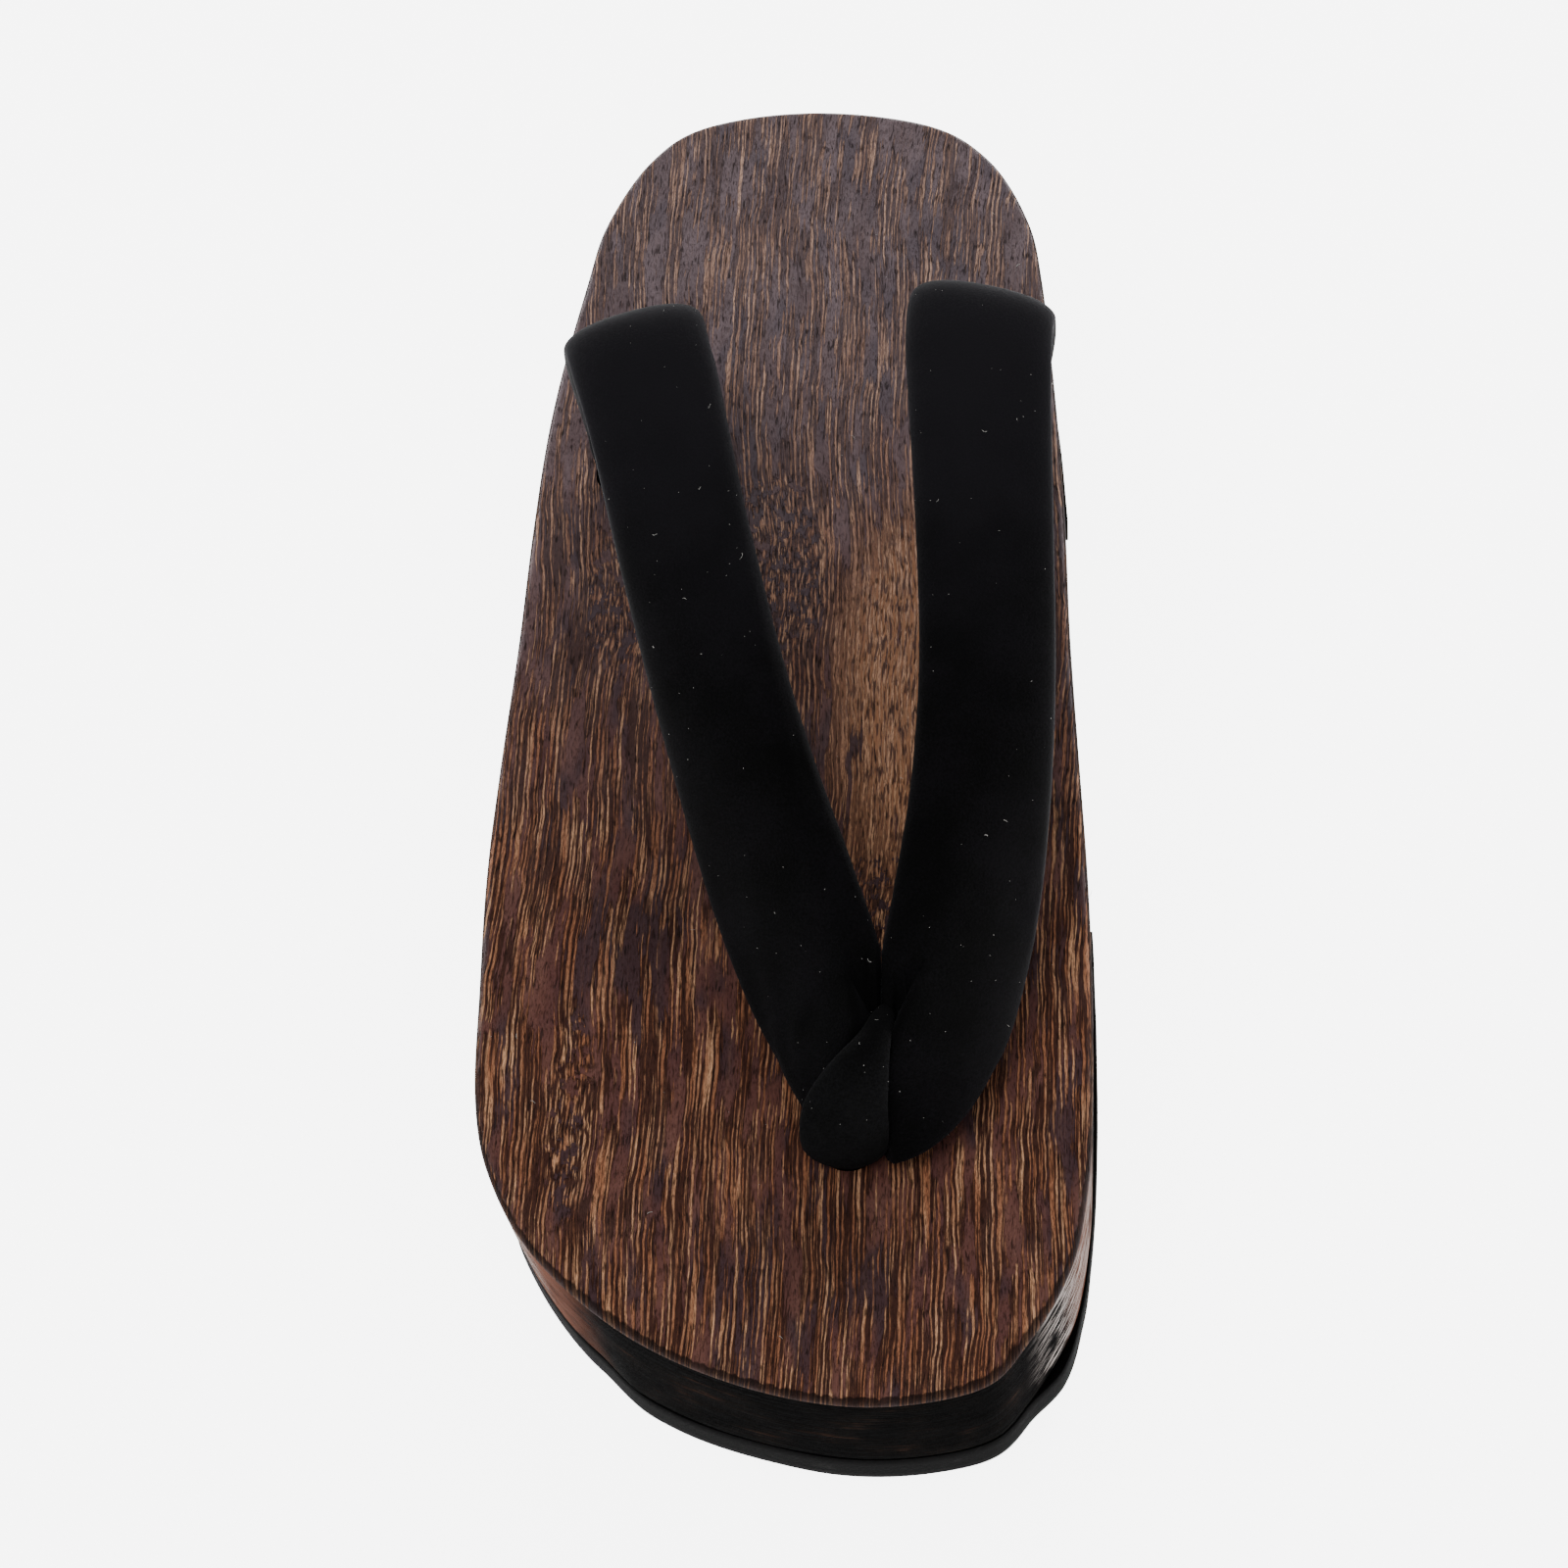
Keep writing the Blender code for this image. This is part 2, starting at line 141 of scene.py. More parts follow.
camera = {
    "place": (0.05575, -0.3751, 0.6119),  # where the photo was taken from, seen from this shoe
    "slope": 58.13,                       # degrees down from level
    "turn": -4.83,                        # degrees round to the shoe from the photo's middle
    "lens": 85.75, "sensor": 36,
}

cameraData = bpy.data.cameras.new("photoCamera")
cameraData.lens = camera["lens"]
cameraData.sensor_width = camera["sensor"]
cameraObject = bpy.data.objects.new("photoCamera", cameraData)
bpy.context.scene.collection.objects.link(cameraObject)
slope, turn = math.radians(camera["slope"]), math.radians(camera["turn"])
forward = Vector((0, math.cos(slope), -math.sin(slope)))
upward = Vector((0, math.sin(slope), math.cos(slope)))
aim = (forward * math.cos(turn) + Vector((1, 0, 0)) * math.sin(turn)).normalized()
cameraUp = (upward - aim * upward.dot(aim)).normalized()
cameraObject.matrix_world = Matrix.Translation(camera["place"]) @ Matrix(
    (aim.cross(cameraUp), cameraUp, -aim)).transposed().to_4x4()
bpy.context.scene.camera = cameraObject
print("camera made")


# the block, with the sizes of the model, in m
block = {
    "length": 0.275, "width": 0.1093, "toeHeight": 0.036, "heelHeight": 0.045,
    "topSag": 0.0025, "edgeRadius": 0.0014, "archRise": 0.012, "archFullness": 2.6,
    "padThickness": 0.008, "frontPadLength": 0.106, "heelPadLength": 0.075, "padTrim": 0.002,
    "toeSpring": 0.0025, "toeSpringLength": 0.030, "heelSpring": 0.0010, "heelSpringLength": 0.014,
    "gap": 0.0003, "bottomEdge": 0.0010,
    "outlineSteps": 14, "acrossSteps": 54, "edgeSteps": 5, "wallSteps": 8, "bottomSteps": 3,
    "handSanding": 0.00014,               # how uneven the walls are
    "wave": (0.00012, 0.03), "ripple": (0.00004, 0.008),  # height and size of bumps on the top
    "wear": 0.35,                         # how much softer the top edge is in places
}
# along, inner, outer: shares of the length and of half the width
outlineRows = [
    (0.000, 0.310, 0.310), (0.012, 0.655, -0.060), (0.043, 0.805, -0.417), (0.094, 0.937, -0.725),
    (0.148, 0.986, -0.895), (0.204, 0.999, -0.968), (0.286, 0.998, -0.988), (0.371, 0.981, -1.000),
    (0.460, 0.951, -0.984), (0.552, 0.921, -0.962), (0.647, 0.901, -0.948), (0.746, 0.866, -0.911),
    (0.849, 0.814, -0.828), (0.902, 0.760, -0.770), (0.956, 0.615, -0.634), (0.988, 0.386, -0.435),
    (1.000, -0.045, -0.045),
]
# how far the hand-cut rubber stands past the wood: shares of padTrim
trimRows = [
    (0.00, -0.1, -0.1), (0.04, 0.1, 0.1), (0.07, 0.8, -0.7), (0.11, 0.3, -1.0), (0.17, 0.2, -0.8),
    (0.25, 0.4, 0.0), (0.40, 0.5, 0.2), (0.72, 0.9, 0.2), (0.87, 0.8, 0.2), (0.95, 0.2, 0.2),
    (1.00, 0.2, 0.2),
]
holes = {"front": (0.174, 0.235), "inner": (0.696, 0.690), "outer": (0.684, -0.640)}
holeRadius, recessRadius, recessDepth = 0.0054, 0.0092, 0.0080
halfLength, halfWidth = block["length"] / 2, block["width"] / 2


def yAt(along):
    return (along - 0.5) * block["length"]


def topAt(y):
    along = y / block["length"] + 0.5
    rise = block["heelHeight"] - block["toeHeight"]
    return block["toeHeight"] + rise * along - block["topSag"] * 4 * along * (1 - along)


def padBottomAt(y):
    toe = max(0.0, 1 - (halfLength + y) / block["toeSpringLength"])
    heel = max(0.0, 1 - (halfLength - y) / block["heelSpringLength"])
    return block["toeSpring"] * toe ** 2 + block["heelSpring"] * heel ** 2


def padTopAt(y):
    return padBottomAt(y) + block["padThickness"]


def woodBottomAt(y):
    start, end = block["frontPadLength"] - halfLength, halfLength - block["heelPadLength"]
    flat = padTopAt(y) + block["gap"]
    if not start < y < end:
        return flat
    share = abs(2 * (y - start) / (end - start) - 1)
    return flat + block["archRise"] * (1 - share ** block["archFullness"])


def soleOutline():
    inner = [(b * halfWidth, yAt(a)) for a, b, c in outlineRows]
    outer = [(c * halfWidth, yAt(a)) for a, b, c in outlineRows[-2:0:-1]]
    return [Vector(p) for p in smoothLoop(inner + outer, block["outlineSteps"])]


def outwards(points):
    made = []
    for i in range(len(points)):
        run = points[(i + 1) % len(points)] - points[i - 1]
        made.append(Vector((run.y, -run.x)).normalized())
    return made


def trimAt(y, innerSide):
    along = y / block["length"] + 0.5
    for first, last in zip(trimRows, trimRows[1:]):
        if along <= last[0]:
            break
    t = (along - first[0]) / (last[0] - first[0])
    t = t * t * (3 - 2 * t)
    side = 1 if innerSide else 2
    return block["padTrim"] * (first[side] + (last[side] - first[side]) * t)


def ringShell(rings, across, cap):
    # joins closed rings, and fills the first and last with rows across, at heights from cap
    bm = bmesh.new()
    rim = bm.verts.layers.float.new("rim")
    made = []
    for ring, depth in rings:
        made.append([bm.verts.new(p) for p in ring])
        for vert in made[-1]:
            vert[rim] = depth
    count = len(rings[0][0])
    half = count // 2
    for low, high in zip(made, made[1:]):
        for i in range(count):
            bm.faces.new((low[i - 1], low[i], high[i], high[i - 1]))
    for ring, heightAt, sign in ((made[0], cap[0], 1), (made[-1], cap[1], -1)):
        rows = [[ring[0]]]
        for k in range(1, half):
            start, end = ring[k], ring[-k]
            row = [start]
            for j in range(1, across):
                p = start.co.lerp(end.co, j / across)
                vert = bm.verts.new((p.x, p.y, heightAt(p)))
                inside = min(j, across - j) / across * (start.co - end.co).length
                tips = min(halfLength - abs(p.y), 0.1)
                vert[rim] = sign * 1000 * min(inside, tips) + ring[0][rim]
                row.append(vert)
            rows.append(row + [end])
        rows.append([ring[half]])
        for low, high in zip(rows, rows[1:]):
            for j in range(across):
                corners = [low[min(j, len(low) - 1)], low[min(j + 1, len(low) - 1)],
                           high[min(j + 1, len(high) - 1)], high[min(j, len(high) - 1)]]
                corners = [v for i, v in enumerate(corners) if v not in corners[:i]]
                if len(corners) > 2:
                    bm.faces.new(corners)
    return bm


def boredOut(piece, places, material):
    # bores round holes, each given by its middle, radius, lower and upper end
    cutters = []
    for x, y, radius, low, high in places:
        bm = bmesh.new()
        bmesh.ops.create_cone(bm, cap_ends=True, segments=64, radius1=radius, radius2=radius,
                              depth=high - low)
        bmesh.ops.translate(bm, verts=bm.verts, vec=(x, y, (low + high) / 2))
        cutters.append(finishObject(bm, "cutter", material))
        modifier = piece.modifiers.new("bore", "BOOLEAN")
        modifier.object, modifier.operation, modifier.solver = cutters[-1], "DIFFERENCE", "EXACT"
    plainMesh(piece)
    for cutter in cutters:
        bpy.data.objects.remove(cutter)
    piece.data.shade_smooth()


def makeBlock(material):
    upper = soleOutline()
    away = outwards(upper)
    count = len(upper)
    lower = [p + n * min(trimAt(p.y, i <= count // 2), 0)
             for i, (p, n) in enumerate(zip(upper, away))]
    radius, under = block["edgeRadius"], block["bottomEdge"]

    def topHeight(p):
        (wave, wide), (ripple, small) = block["wave"], block["ripple"]
        return topAt(p.y) + wave * bumpy(p, wide) + ripple * bumpy(p, small, 3)

    def worn(p):
        # the top edge is a little softer in places
        return radius * (1 + block["wear"] * bumpy((p.x, p.y, 0), 0.025, 7))

    # each ring with its "rim", which the materials read: over the top it is the distance from the
    # edge in mm, and down the wall it falls from -0.4 to -30.4
    rings = []
    for i in range(block["edgeSteps"] + 1):
        a = math.radians(90 * i / block["edgeSteps"])
        ring = []
        for p, n in zip(upper, away):
            r = worn(p)
            q = p - n * r * (1 - math.sin(a))
            ring.append((q.x, q.y, topHeight(Vector((q.x, q.y, 0))) - r * (1 - math.cos(a))))
        rings.append((ring, 1000 * radius * (1 - math.sin(a)) - 0.4 * i / block["edgeSteps"]))
    for i in range(1, block["wallSteps"] + 1):
        t = i / block["wallSteps"]
        ring = []
        for p, low, n in zip(upper, lower, away):
            top, bottom = topAt(p.y) - worn(p), woodBottomAt(low.y) + under
            z = top + (bottom - top) * t
            q = p.lerp(low, t)
            uneven = bumpy((q.x, q.y, z), 0.022, 5) + 0.5 * bumpy((q.x, q.y, z), 0.009, 9)
            q = q + n * (block["handSanding"] * math.sin(math.pi * t) * uneven)
            ring.append((q.x, q.y, z))
        rings.append((ring, -0.4 - 30 * t))
    for i in range(1, block["bottomSteps"] + 1):
        a = math.radians(90 * i / block["bottomSteps"])
        ring = []
        for low, n in zip(lower, away):
            q = low - n * under * (1 - math.cos(a))
            ring.append((q.x, q.y, woodBottomAt(low.y) + under * (1 - math.sin(a))))
        rings.append((ring, -31 - i))
    bm = ringShell(rings, block["acrossSteps"], (topHeight, lambda p: woodBottomAt(p.y)))
    piece = finishObject(bm, "scorchedBlock", material, 35)
    places = []
    for along, across in holes.values():
        x, y = across * halfWidth, yAt(along)
        places += [(x, y, holeRadius, 0, topAt(y) + 0.01),
                   (x, y, recessRadius, 0, woodBottomAt(y) + recessDepth)]
    boredOut(piece, places, material)
    piece.data.set_sharp_from_angle(angle=math.radians(40))
    return piece


# what the wood looks like: places and sizes in mm, colours as seen. A pair whose name ends in From
# holds the two values of its pattern between which it goes from nothing to full
topLook = {
    # each pair is the toe's colour, then the heel's; the heel's are greyer and paler, with a
    # painted sheen in them
    "soot": ("#543431", "#5b4e51"),        # the smooth burnt crust, at the toe and at the heel
    "sootPale": ("#643f36", "#695b5f"),
    "sootBlue": ("#3f2b2e", "#544a50"),    # where the crust is thickest
    "groove": ("#3a2018", "#57494a"),      # the brushed-out lines between the fibres
    "fibre": ("#9b6547", "#937465"),       # brushed bare grain, dark and pale
    "fibrePale": ("#cf9c76", "#bf9a86"),
    "palePatch": "#b5805c",                # where the flame hardly touched, under the inner strap
    "rim": "#150b09",
    "heelSheenFrom": (-70.0, 105.0),            # y from where the toe's red turns to the heel's grey, which is a painted sheen
    "wander": (0.013, (11.0, 0, 0)),       # waves per mm of the grain, and their reach
    "ripple": (0.13, (1.0, 3.0, 0)),
    "curlRipple": (0.30, (0.35, 0.8, 0)),  # the same where the grain curls
    "line": (0.42, 22.0),                  # width and length of a fibre bundle
    "shortLine": (0.38, 3.4),              # the same where the grain curls
    "fineLine": (0.20, 4.2),
    "spacing": 0.94, "drift": (7.0, 40.0), "driftReach": 9.0,  # of the even lines between them
    "evenShare": 0.06, "evenLost": -0.05,  # how much those count, and lose where the grain is short
    "fineShare": 0.34, "paleShare": 0.045, "lineShift": -0.17, "paleShortens": 0.40,
    "fibreFrom": (0.485, 0.60),
    "paleLine": (1.7, 20.0), "paleLineFrom": (0.40, 0.70),
    "tear": (0.15, 1.5), "tearFrom": (0.54, 0.42),
    "dash": (0.50, 4.6), "dashFrom": (0.47, 0.40),
    "crust": (3.6, 24.0),                  # width and length of a patch of crust
    "smallCrust": (2.7, 3.0),              # the same where the grain curls
    "crustFrom": (0.505, 0.55), "heelwardFrom": (10.0, 80.0),
    "crustMore": {"pale": -0.12, "dark": 0.045, "heelward": 0.035},  # how much more crust there
    "crustShift": 0.18, "crustOffLines": -0.36, "curlSmall": 0.9,
    "thick": (9.0, 22.0), "thickFrom": (0.50, 0.62), "darkThick": 0.12, "curlThick": 0.14,
    "mottle": (6.0, 16.0), "mottleFrom": (0.35, 0.65),
    "pit": (0.30, 1.3), "pitFrom": (0.47, 0.36),
    "pore": (0.40, 3.4), "poreFrom": (0.385, 0.30),
    "ragged": (1.2, 3.0), "rimFrom": (1.3, 0.8),
    "rimWidth": (-80.0, -120.0, 0.6, 2.4),  # from y to y, and its width there
    "pale": [(24.0, 3.0, 22.0, 54.0)],     # x, y and reach of the pale patch
    "dark": [(8.0, -112.0, 26.0, 20.0), (-24.0, -45.0, 16.0, 26.0)],  # darker crust: the first, at the toe in front of the fold, is a painted shadow of the strap; the second makes the crust darker towards the outer side
    "curl": [(-6.0, 27.0, 14.0, 30.0), (-36.0, -84.0, 5.0, 27.0), (-33.0, 24.0, 10.0, 24.0),
             (17.0, -48.0, 12.0, 24.0)],   # where the grain curls
    "cover": {"tears": 0.62, "palePatch": 0.62, "dashes": 0.85, "pits": 0.55, "crust": 0.94,
              "dark": 0.22, "pores": 0.7, "rim": 0.86},  # how strongly each coat covers
    "high": {"fibre": 0.6, "crust": 0.85, "mottle": 0.25, "pores": -0.5, "tears": 0.45,
             "pits": -0.25},               # how high each part stands, as a share of the relief
    "roughness": (0.72, 0.42), "rimRougher": 0.5,  # of the brushed grain, the crust and the rim
    "relief": 0.00050,                     # how deep the brush cut, in m
}
wallLook = {
    "soot": "#020202", "char": "#090706", "brown": "#2c1d16",
    "tones": (0.68, 0.88, 1.0),            # the pattern's values for these three
    "paintedGlint": "#8b837f",                      # a painted reflection: pale grey streaks along the grain
    "cornerBrown": "#4a2d22",                    # where the char has rubbed through to brown
    "cornerBrownAt": [(-47.0, -106.0, 26.0, 26.0), (56.0, -102.0, 11.0, 20.0)],  # x, y and reach
    "cornerBrownFrom": (0.52, 0.70),
    "glintAt": [(-50.0, -106.0, 13.0, 17.0), (53.0, -108.0, 16.0, 24.0)],  # browner patches at the toe's two corners
    "glintCover": 0.8,
    "glintElsewhere": 0.07,                  # how much of it the rest of the wall has
    "glintBehindFrom": (-122.0, -105.0),     # y, so that there is none on the front
    "glintAboveFrom": (-30.3, -28.0),        # rim, so that it stays off the lower edge
    "line": (14.0, 14.0, 0.34),            # x, y and z size of a grain line
    "glintStreak": (6.5, 6.5, 0.52), "glintStreakFrom": (0.49, 0.55),
    "blotches": 0.11, "blotchShare": 0.7, "blotchFrom": (0.34, 0.46),  # blotches per mm
    "browner": (-110.0, 0.0, -0.16, 0.10),  # from y to y, and how much browner it is there
    "roughness": (0.3, 0.7, 0.5, 0.8),     # from and to which line, and the roughness there
    "relief": 0.00035,
}


def ovals(tree, place, rows, soften):
    # 1 inside any of the ovals, 0 outside them
    found = None
    for x, y, wide, long in rows:
        offset = addNode(tree, "ShaderNodeVectorMath", (place, (x, y, 0)), operation="SUBTRACT")
        offset = addNode(tree, "ShaderNodeVectorMath", (offset, (1 / wide, 1 / long, 0)),
                         operation="MULTIPLY")
        far = addNode(tree, "ShaderNodeVectorMath", (offset,), operation="LENGTH")
        share = addNode(tree, "ShaderNodeMapRange", (far, 1.0, 1.0 - soften),
                        interpolation_type="SMOOTHSTEP")
        found = share if found is None else addNode(tree, "ShaderNodeMath", (found, share),
                                                    operation="MAXIMUM")
    return found


def stretched(tree, place, size, detail, roughness=0.5, between=None):
    # noise drawn out along the grain to a size in mm, or a mask of it between two of its values
    share = (1 / size[0], 1 / size[1], 1 / size[2] if len(size) > 2 else 0)
    coords = addNode(tree, "ShaderNodeVectorMath", (place, share), operation="MULTIPLY")
    made = addNode(tree, "ShaderNodeTexNoise", {"Vector": coords, "Scale": 1.0, "Detail": detail,
                                                "Roughness": roughness})
    if between is None:
        return made
    return addNode(tree, "ShaderNodeMapRange", (made, *between), interpolation_type="SMOOTHSTEP")


def coats(tree, colour, rows):
    # lays coats over a colour: where each goes, how strong it is, and its own colour
    for mask, strength, coat in rows:
        share = addNode(tree, "ShaderNodeMath", (mask, strength), operation="MULTIPLY")
        colour = addNode(tree, "ShaderNodeMix", (share, colour, coat), data_type="RGBA")
    return colour


def makeScorchedTop():
    # paulownia, scorched and wire-brushed: patches of smooth dark crust with a dull shine, and
    # between them the brushed grain, pale thin fibres with dark grooves
    look, cover = topLook, topLook["cover"]
    material, tree, shader = newMaterial("scorchedBrushedPaulownia")
    place = addNode(tree, "ShaderNodeTexCoord").outputs["Object"]
    mm = addNode(tree, "ShaderNodeVectorMath", (place, 1000), operation="SCALE")
    back = addNode(tree, "ShaderNodeSeparateXYZ", (mm,)).outputs["Y"]
    rim = addNode(tree, "ShaderNodeAttribute", attribute_name="rim").outputs["Fac"]
    curl = ovals(tree, mm, look["curl"], 0.5)
    pale = ovals(tree, mm, look["pale"], 0.55)
    # dark: ovals of darker crust; the one at the toe is a painted shadow of the strap's fold
    dark = ovals(tree, mm, look["dark"], 0.8)

    # the grain wanders slowly over the sole, and ripples over a few millimetres where it curls
    warped = mm
    for name, share in (("wander", None), ("ripple", None), ("curlRipple", curl)):
        tight, reach = look[name]
        moved = addNode(tree, "ShaderNodeTexNoise", {"Vector": mm, "Scale": tight, "Detail": 1.0})
        moved = addNode(tree, "ShaderNodeVectorMath", (moved.outputs["Color"], (0.5, 0.5, 0.5)),
                        operation="SUBTRACT")
        moved = addNode(tree, "ShaderNodeVectorMath", (moved, reach), operation="MULTIPLY")
        if share:
            moved = addNode(tree, "ShaderNodeVectorMath", (moved, share), operation="SCALE")
        warped = addNode(tree, "ShaderNodeVectorMath", (warped, moved), operation="ADD")

    # fibres: uneven lines, a little helped along by an even spacing, and short where they curl
    partly = addNode(tree, "ShaderNodeMath", (pale, look["paleShortens"]), operation="MULTIPLY")
    shorter = addNode(tree, "ShaderNodeMath", (curl, partly), operation="MAXIMUM")
    across = addNode(tree, "ShaderNodeSeparateXYZ", (warped,)).outputs["X"]
    drift = stretched(tree, warped, look["drift"], 1.0)
    drift = addNode(tree, "ShaderNodeMath", (drift, look["driftReach"]), operation="MULTIPLY")
    wave = addNode(tree, "ShaderNodeMath", (across, 2 * math.pi / look["spacing"], drift),
                   operation="MULTIPLY_ADD")
    wave = addNode(tree, "ShaderNodeMath", (wave,), operation="SINE")
    waveHeight = addNode(tree, "ShaderNodeMath", (shorter, look["evenLost"], look["evenShare"]),
                         operation="MULTIPLY_ADD")
    wave = addNode(tree, "ShaderNodeMath", (wave, waveHeight), operation="MULTIPLY")
    uneven = addNode(tree, "ShaderNodeMix", (
        shorter, stretched(tree, warped, look["line"], 1.0, 0.4),
        stretched(tree, warped, look["shortLine"], 1.0, 0.4)), data_type="FLOAT")
    fine = stretched(tree, warped, look["fineLine"], 2.0)
    lines = addNode(tree, "ShaderNodeMath", (wave, uneven), operation="ADD")
    lines = addNode(tree, "ShaderNodeMath", (lines, look["lineShift"]), operation="ADD")
    for part, weight in ((fine, look["fineShare"]), (pale, look["paleShare"])):
        lines = addNode(tree, "ShaderNodeMath", (part, weight, lines), operation="MULTIPLY_ADD")
    fibre = addNode(tree, "ShaderNodeMapRange", (lines, *look["fibreFrom"]),
                    interpolation_type="SMOOTHSTEP")

    # crust: ragged patches, small scallops where the grain curls, hardly any on the pale patch
    wide = stretched(tree, warped, look["crust"], 3.0, 0.6)
    small = stretched(tree, warped, look["smallCrust"], 3.0, 0.6)
    mostly = addNode(tree, "ShaderNodeMath", (curl, look["curlSmall"]), operation="MULTIPLY")
    patches = addNode(tree, "ShaderNodeMix", (mostly, wide, small), data_type="FLOAT")
    heelward = addNode(tree, "ShaderNodeMapRange", (back, *look["heelwardFrom"]),
                       interpolation_type="SMOOTHSTEP")
    for name, part in (("pale", pale), ("dark", dark), ("heelward", heelward)):
        patches = addNode(tree, "ShaderNodeMath", (part, look["crustMore"][name], patches),
                          operation="MULTIPLY_ADD")
    patches = addNode(tree, "ShaderNodeMath", (patches, look["crustShift"]), operation="ADD")
    patches = addNode(tree, "ShaderNodeMath", (lines, look["crustOffLines"], patches),
                      operation="MULTIPLY_ADD")
    crust = addNode(tree, "ShaderNodeMapRange", (patches, *look["crustFrom"]),
                    interpolation_type="SMOOTHSTEP")

    # redder at the toe, greyer and paler at the heel, where the grey is a painted sheen
    mottle = stretched(tree, mm, look["mottle"], 3.0)
    heelSheenShare = addNode(tree, "ShaderNodeMapRange", (back, *look["heelSheenFrom"]),
                   interpolation_type="SMOOTHSTEP")
    heelSheenShare = addNode(tree, "ShaderNodeMath", (heelSheenShare, -0.25), operation="ADD")
    heelSheenShare = addNode(tree, "ShaderNodeMath", (mottle, 0.5, heelSheenShare), operation="MULTIPLY_ADD",
                   use_clamp=True)
    tones = {name: addNode(tree, "ShaderNodeMix", (heelSheenShare, *look[name]), data_type="RGBA")
             for name in ("soot", "sootPale", "sootBlue", "groove", "fibre", "fibrePale")}

    # each fibre is a bundle of finer ones, torn here and there by the brush
    paler = stretched(tree, warped, look["paleLine"], 2.0, between=look["paleLineFrom"])
    mostly = addNode(tree, "ShaderNodeMath", (pale, 0.85), operation="MULTIPLY")
    paler = addNode(tree, "ShaderNodeMath", (paler, mostly), operation="MAXIMUM")
    bare = addNode(tree, "ShaderNodeMix", (paler, tones["fibre"], tones["fibrePale"]),
                   data_type="RGBA")
    torn = stretched(tree, warped, look["tear"], 3.0, 0.65)
    tears = addNode(tree, "ShaderNodeMapRange", (torn, *look["tearFrom"]),
                    interpolation_type="SMOOTHSTEP")
    bare = coats(tree, bare, [(tears, cover["tears"], tones["groove"])])
    hollow = coats(tree, tones["groove"], [(pale, cover["palePatch"], look["palePatch"])])
    brushed = addNode(tree, "ShaderNodeMix", (fibre, hollow, bare), data_type="RGBA")
    # short dark dashes stay in the pale patch, where the pores run out of the wood
    dashes = stretched(tree, warped, look["dash"], 1.0, between=look["dashFrom"])
    dashes = addNode(tree, "ShaderNodeMath", (pale, dashes), operation="MULTIPLY")
    brushed = coats(tree, brushed, [(dashes, cover["dashes"], tones["groove"])])

    # the crust is blue where it is thick, pitted, and crazed finely along the grain
    mottled = addNode(tree, "ShaderNodeMapRange", (mottle, *look["mottleFrom"]),
                      interpolation_type="SMOOTHSTEP")
    burnt = addNode(tree, "ShaderNodeMix", (mottled, tones["soot"], tones["sootPale"]),
                    data_type="RGBA")
    # more blue crust in the dark ovals, so also in the painted shadow at the toe
    thicker = addNode(tree, "ShaderNodeMath", (dark, look["darkThick"]), operation="MULTIPLY")
    thick = addNode(tree, "ShaderNodeMath", (stretched(tree, mm, look["thick"], 2.0), thicker),
                    operation="ADD")
    thick = addNode(tree, "ShaderNodeMath", (curl, look["curlThick"], thick),
                    operation="MULTIPLY_ADD")
    thick = addNode(tree, "ShaderNodeMapRange", (thick, *look["thickFrom"]),
                    interpolation_type="SMOOTHSTEP")
    burnt = addNode(tree, "ShaderNodeMix", (thick, burnt, tones["sootBlue"]), data_type="RGBA")
    pitted = stretched(tree, warped, look["pit"], 3.0, 0.7, look["pitFrom"])
    burnt = coats(tree, burnt, [(pitted, cover["pits"], tones["groove"])])

    # deep pores with black walls, and the dark ragged rim, widest round the toe
    pore = stretched(tree, warped, look["pore"], 1.0, between=look["poreFrom"])
    rimWidth = addNode(tree, "ShaderNodeMapRange", (back, *look["rimWidth"]))
    ragged = addNode(tree, "ShaderNodeMath", (stretched(tree, mm, look["ragged"], 3.0), rimWidth),
                     operation="MULTIPLY")
    charred = addNode(tree, "ShaderNodeMath", (rim, ragged), operation="DIVIDE")
    charred = addNode(tree, "ShaderNodeMapRange", (charred, *look["rimFrom"]),
                      interpolation_type="SMOOTHSTEP")
    # the dark ovals also get a coat of the rim's near black, a painted shadow at the toe
    top = coats(tree, brushed, [
        (crust, cover["crust"], burnt), (dark, cover["dark"], look["rim"]),
        (pore, cover["pores"], look["rim"]), (charred, cover["rim"], look["rim"])])

    # the crust is the smoothest, the brushed grooves and the rim the roughest
    rough = addNode(tree, "ShaderNodeMapRange", (crust, 0.0, 1.0, *look["roughness"]))
    rough = addNode(tree, "ShaderNodeMath", (charred, look["rimRougher"], rough),
                    operation="MULTIPLY_ADD", use_clamp=True)
    high = look["high"]
    height = addNode(tree, "ShaderNodeMath", (fibre, high["fibre"]), operation="MULTIPLY")
    crustHeight = addNode(tree, "ShaderNodeMath", (crust, high["crust"]), operation="MULTIPLY")
    crustHeight = addNode(tree, "ShaderNodeMath", (mottle, high["mottle"], crustHeight),
                          operation="MULTIPLY_ADD")
    height = addNode(tree, "ShaderNodeMath", (height, crustHeight), operation="MAXIMUM")
    for name, part in (("pores", pore), ("tears", torn), ("pits", pitted)):
        height = addNode(tree, "ShaderNodeMath", (part, high[name], height),
                         operation="MULTIPLY_ADD")
    bump = addNode(tree, "ShaderNodeBump", {"Height": height, "Strength": 1.0,
                                            "Distance": look["relief"]})
    fillIn(tree, shader, {"Base Color": top, "Roughness": rough, "Normal": bump,
                          "Specular IOR Level": 0.12})
    return material


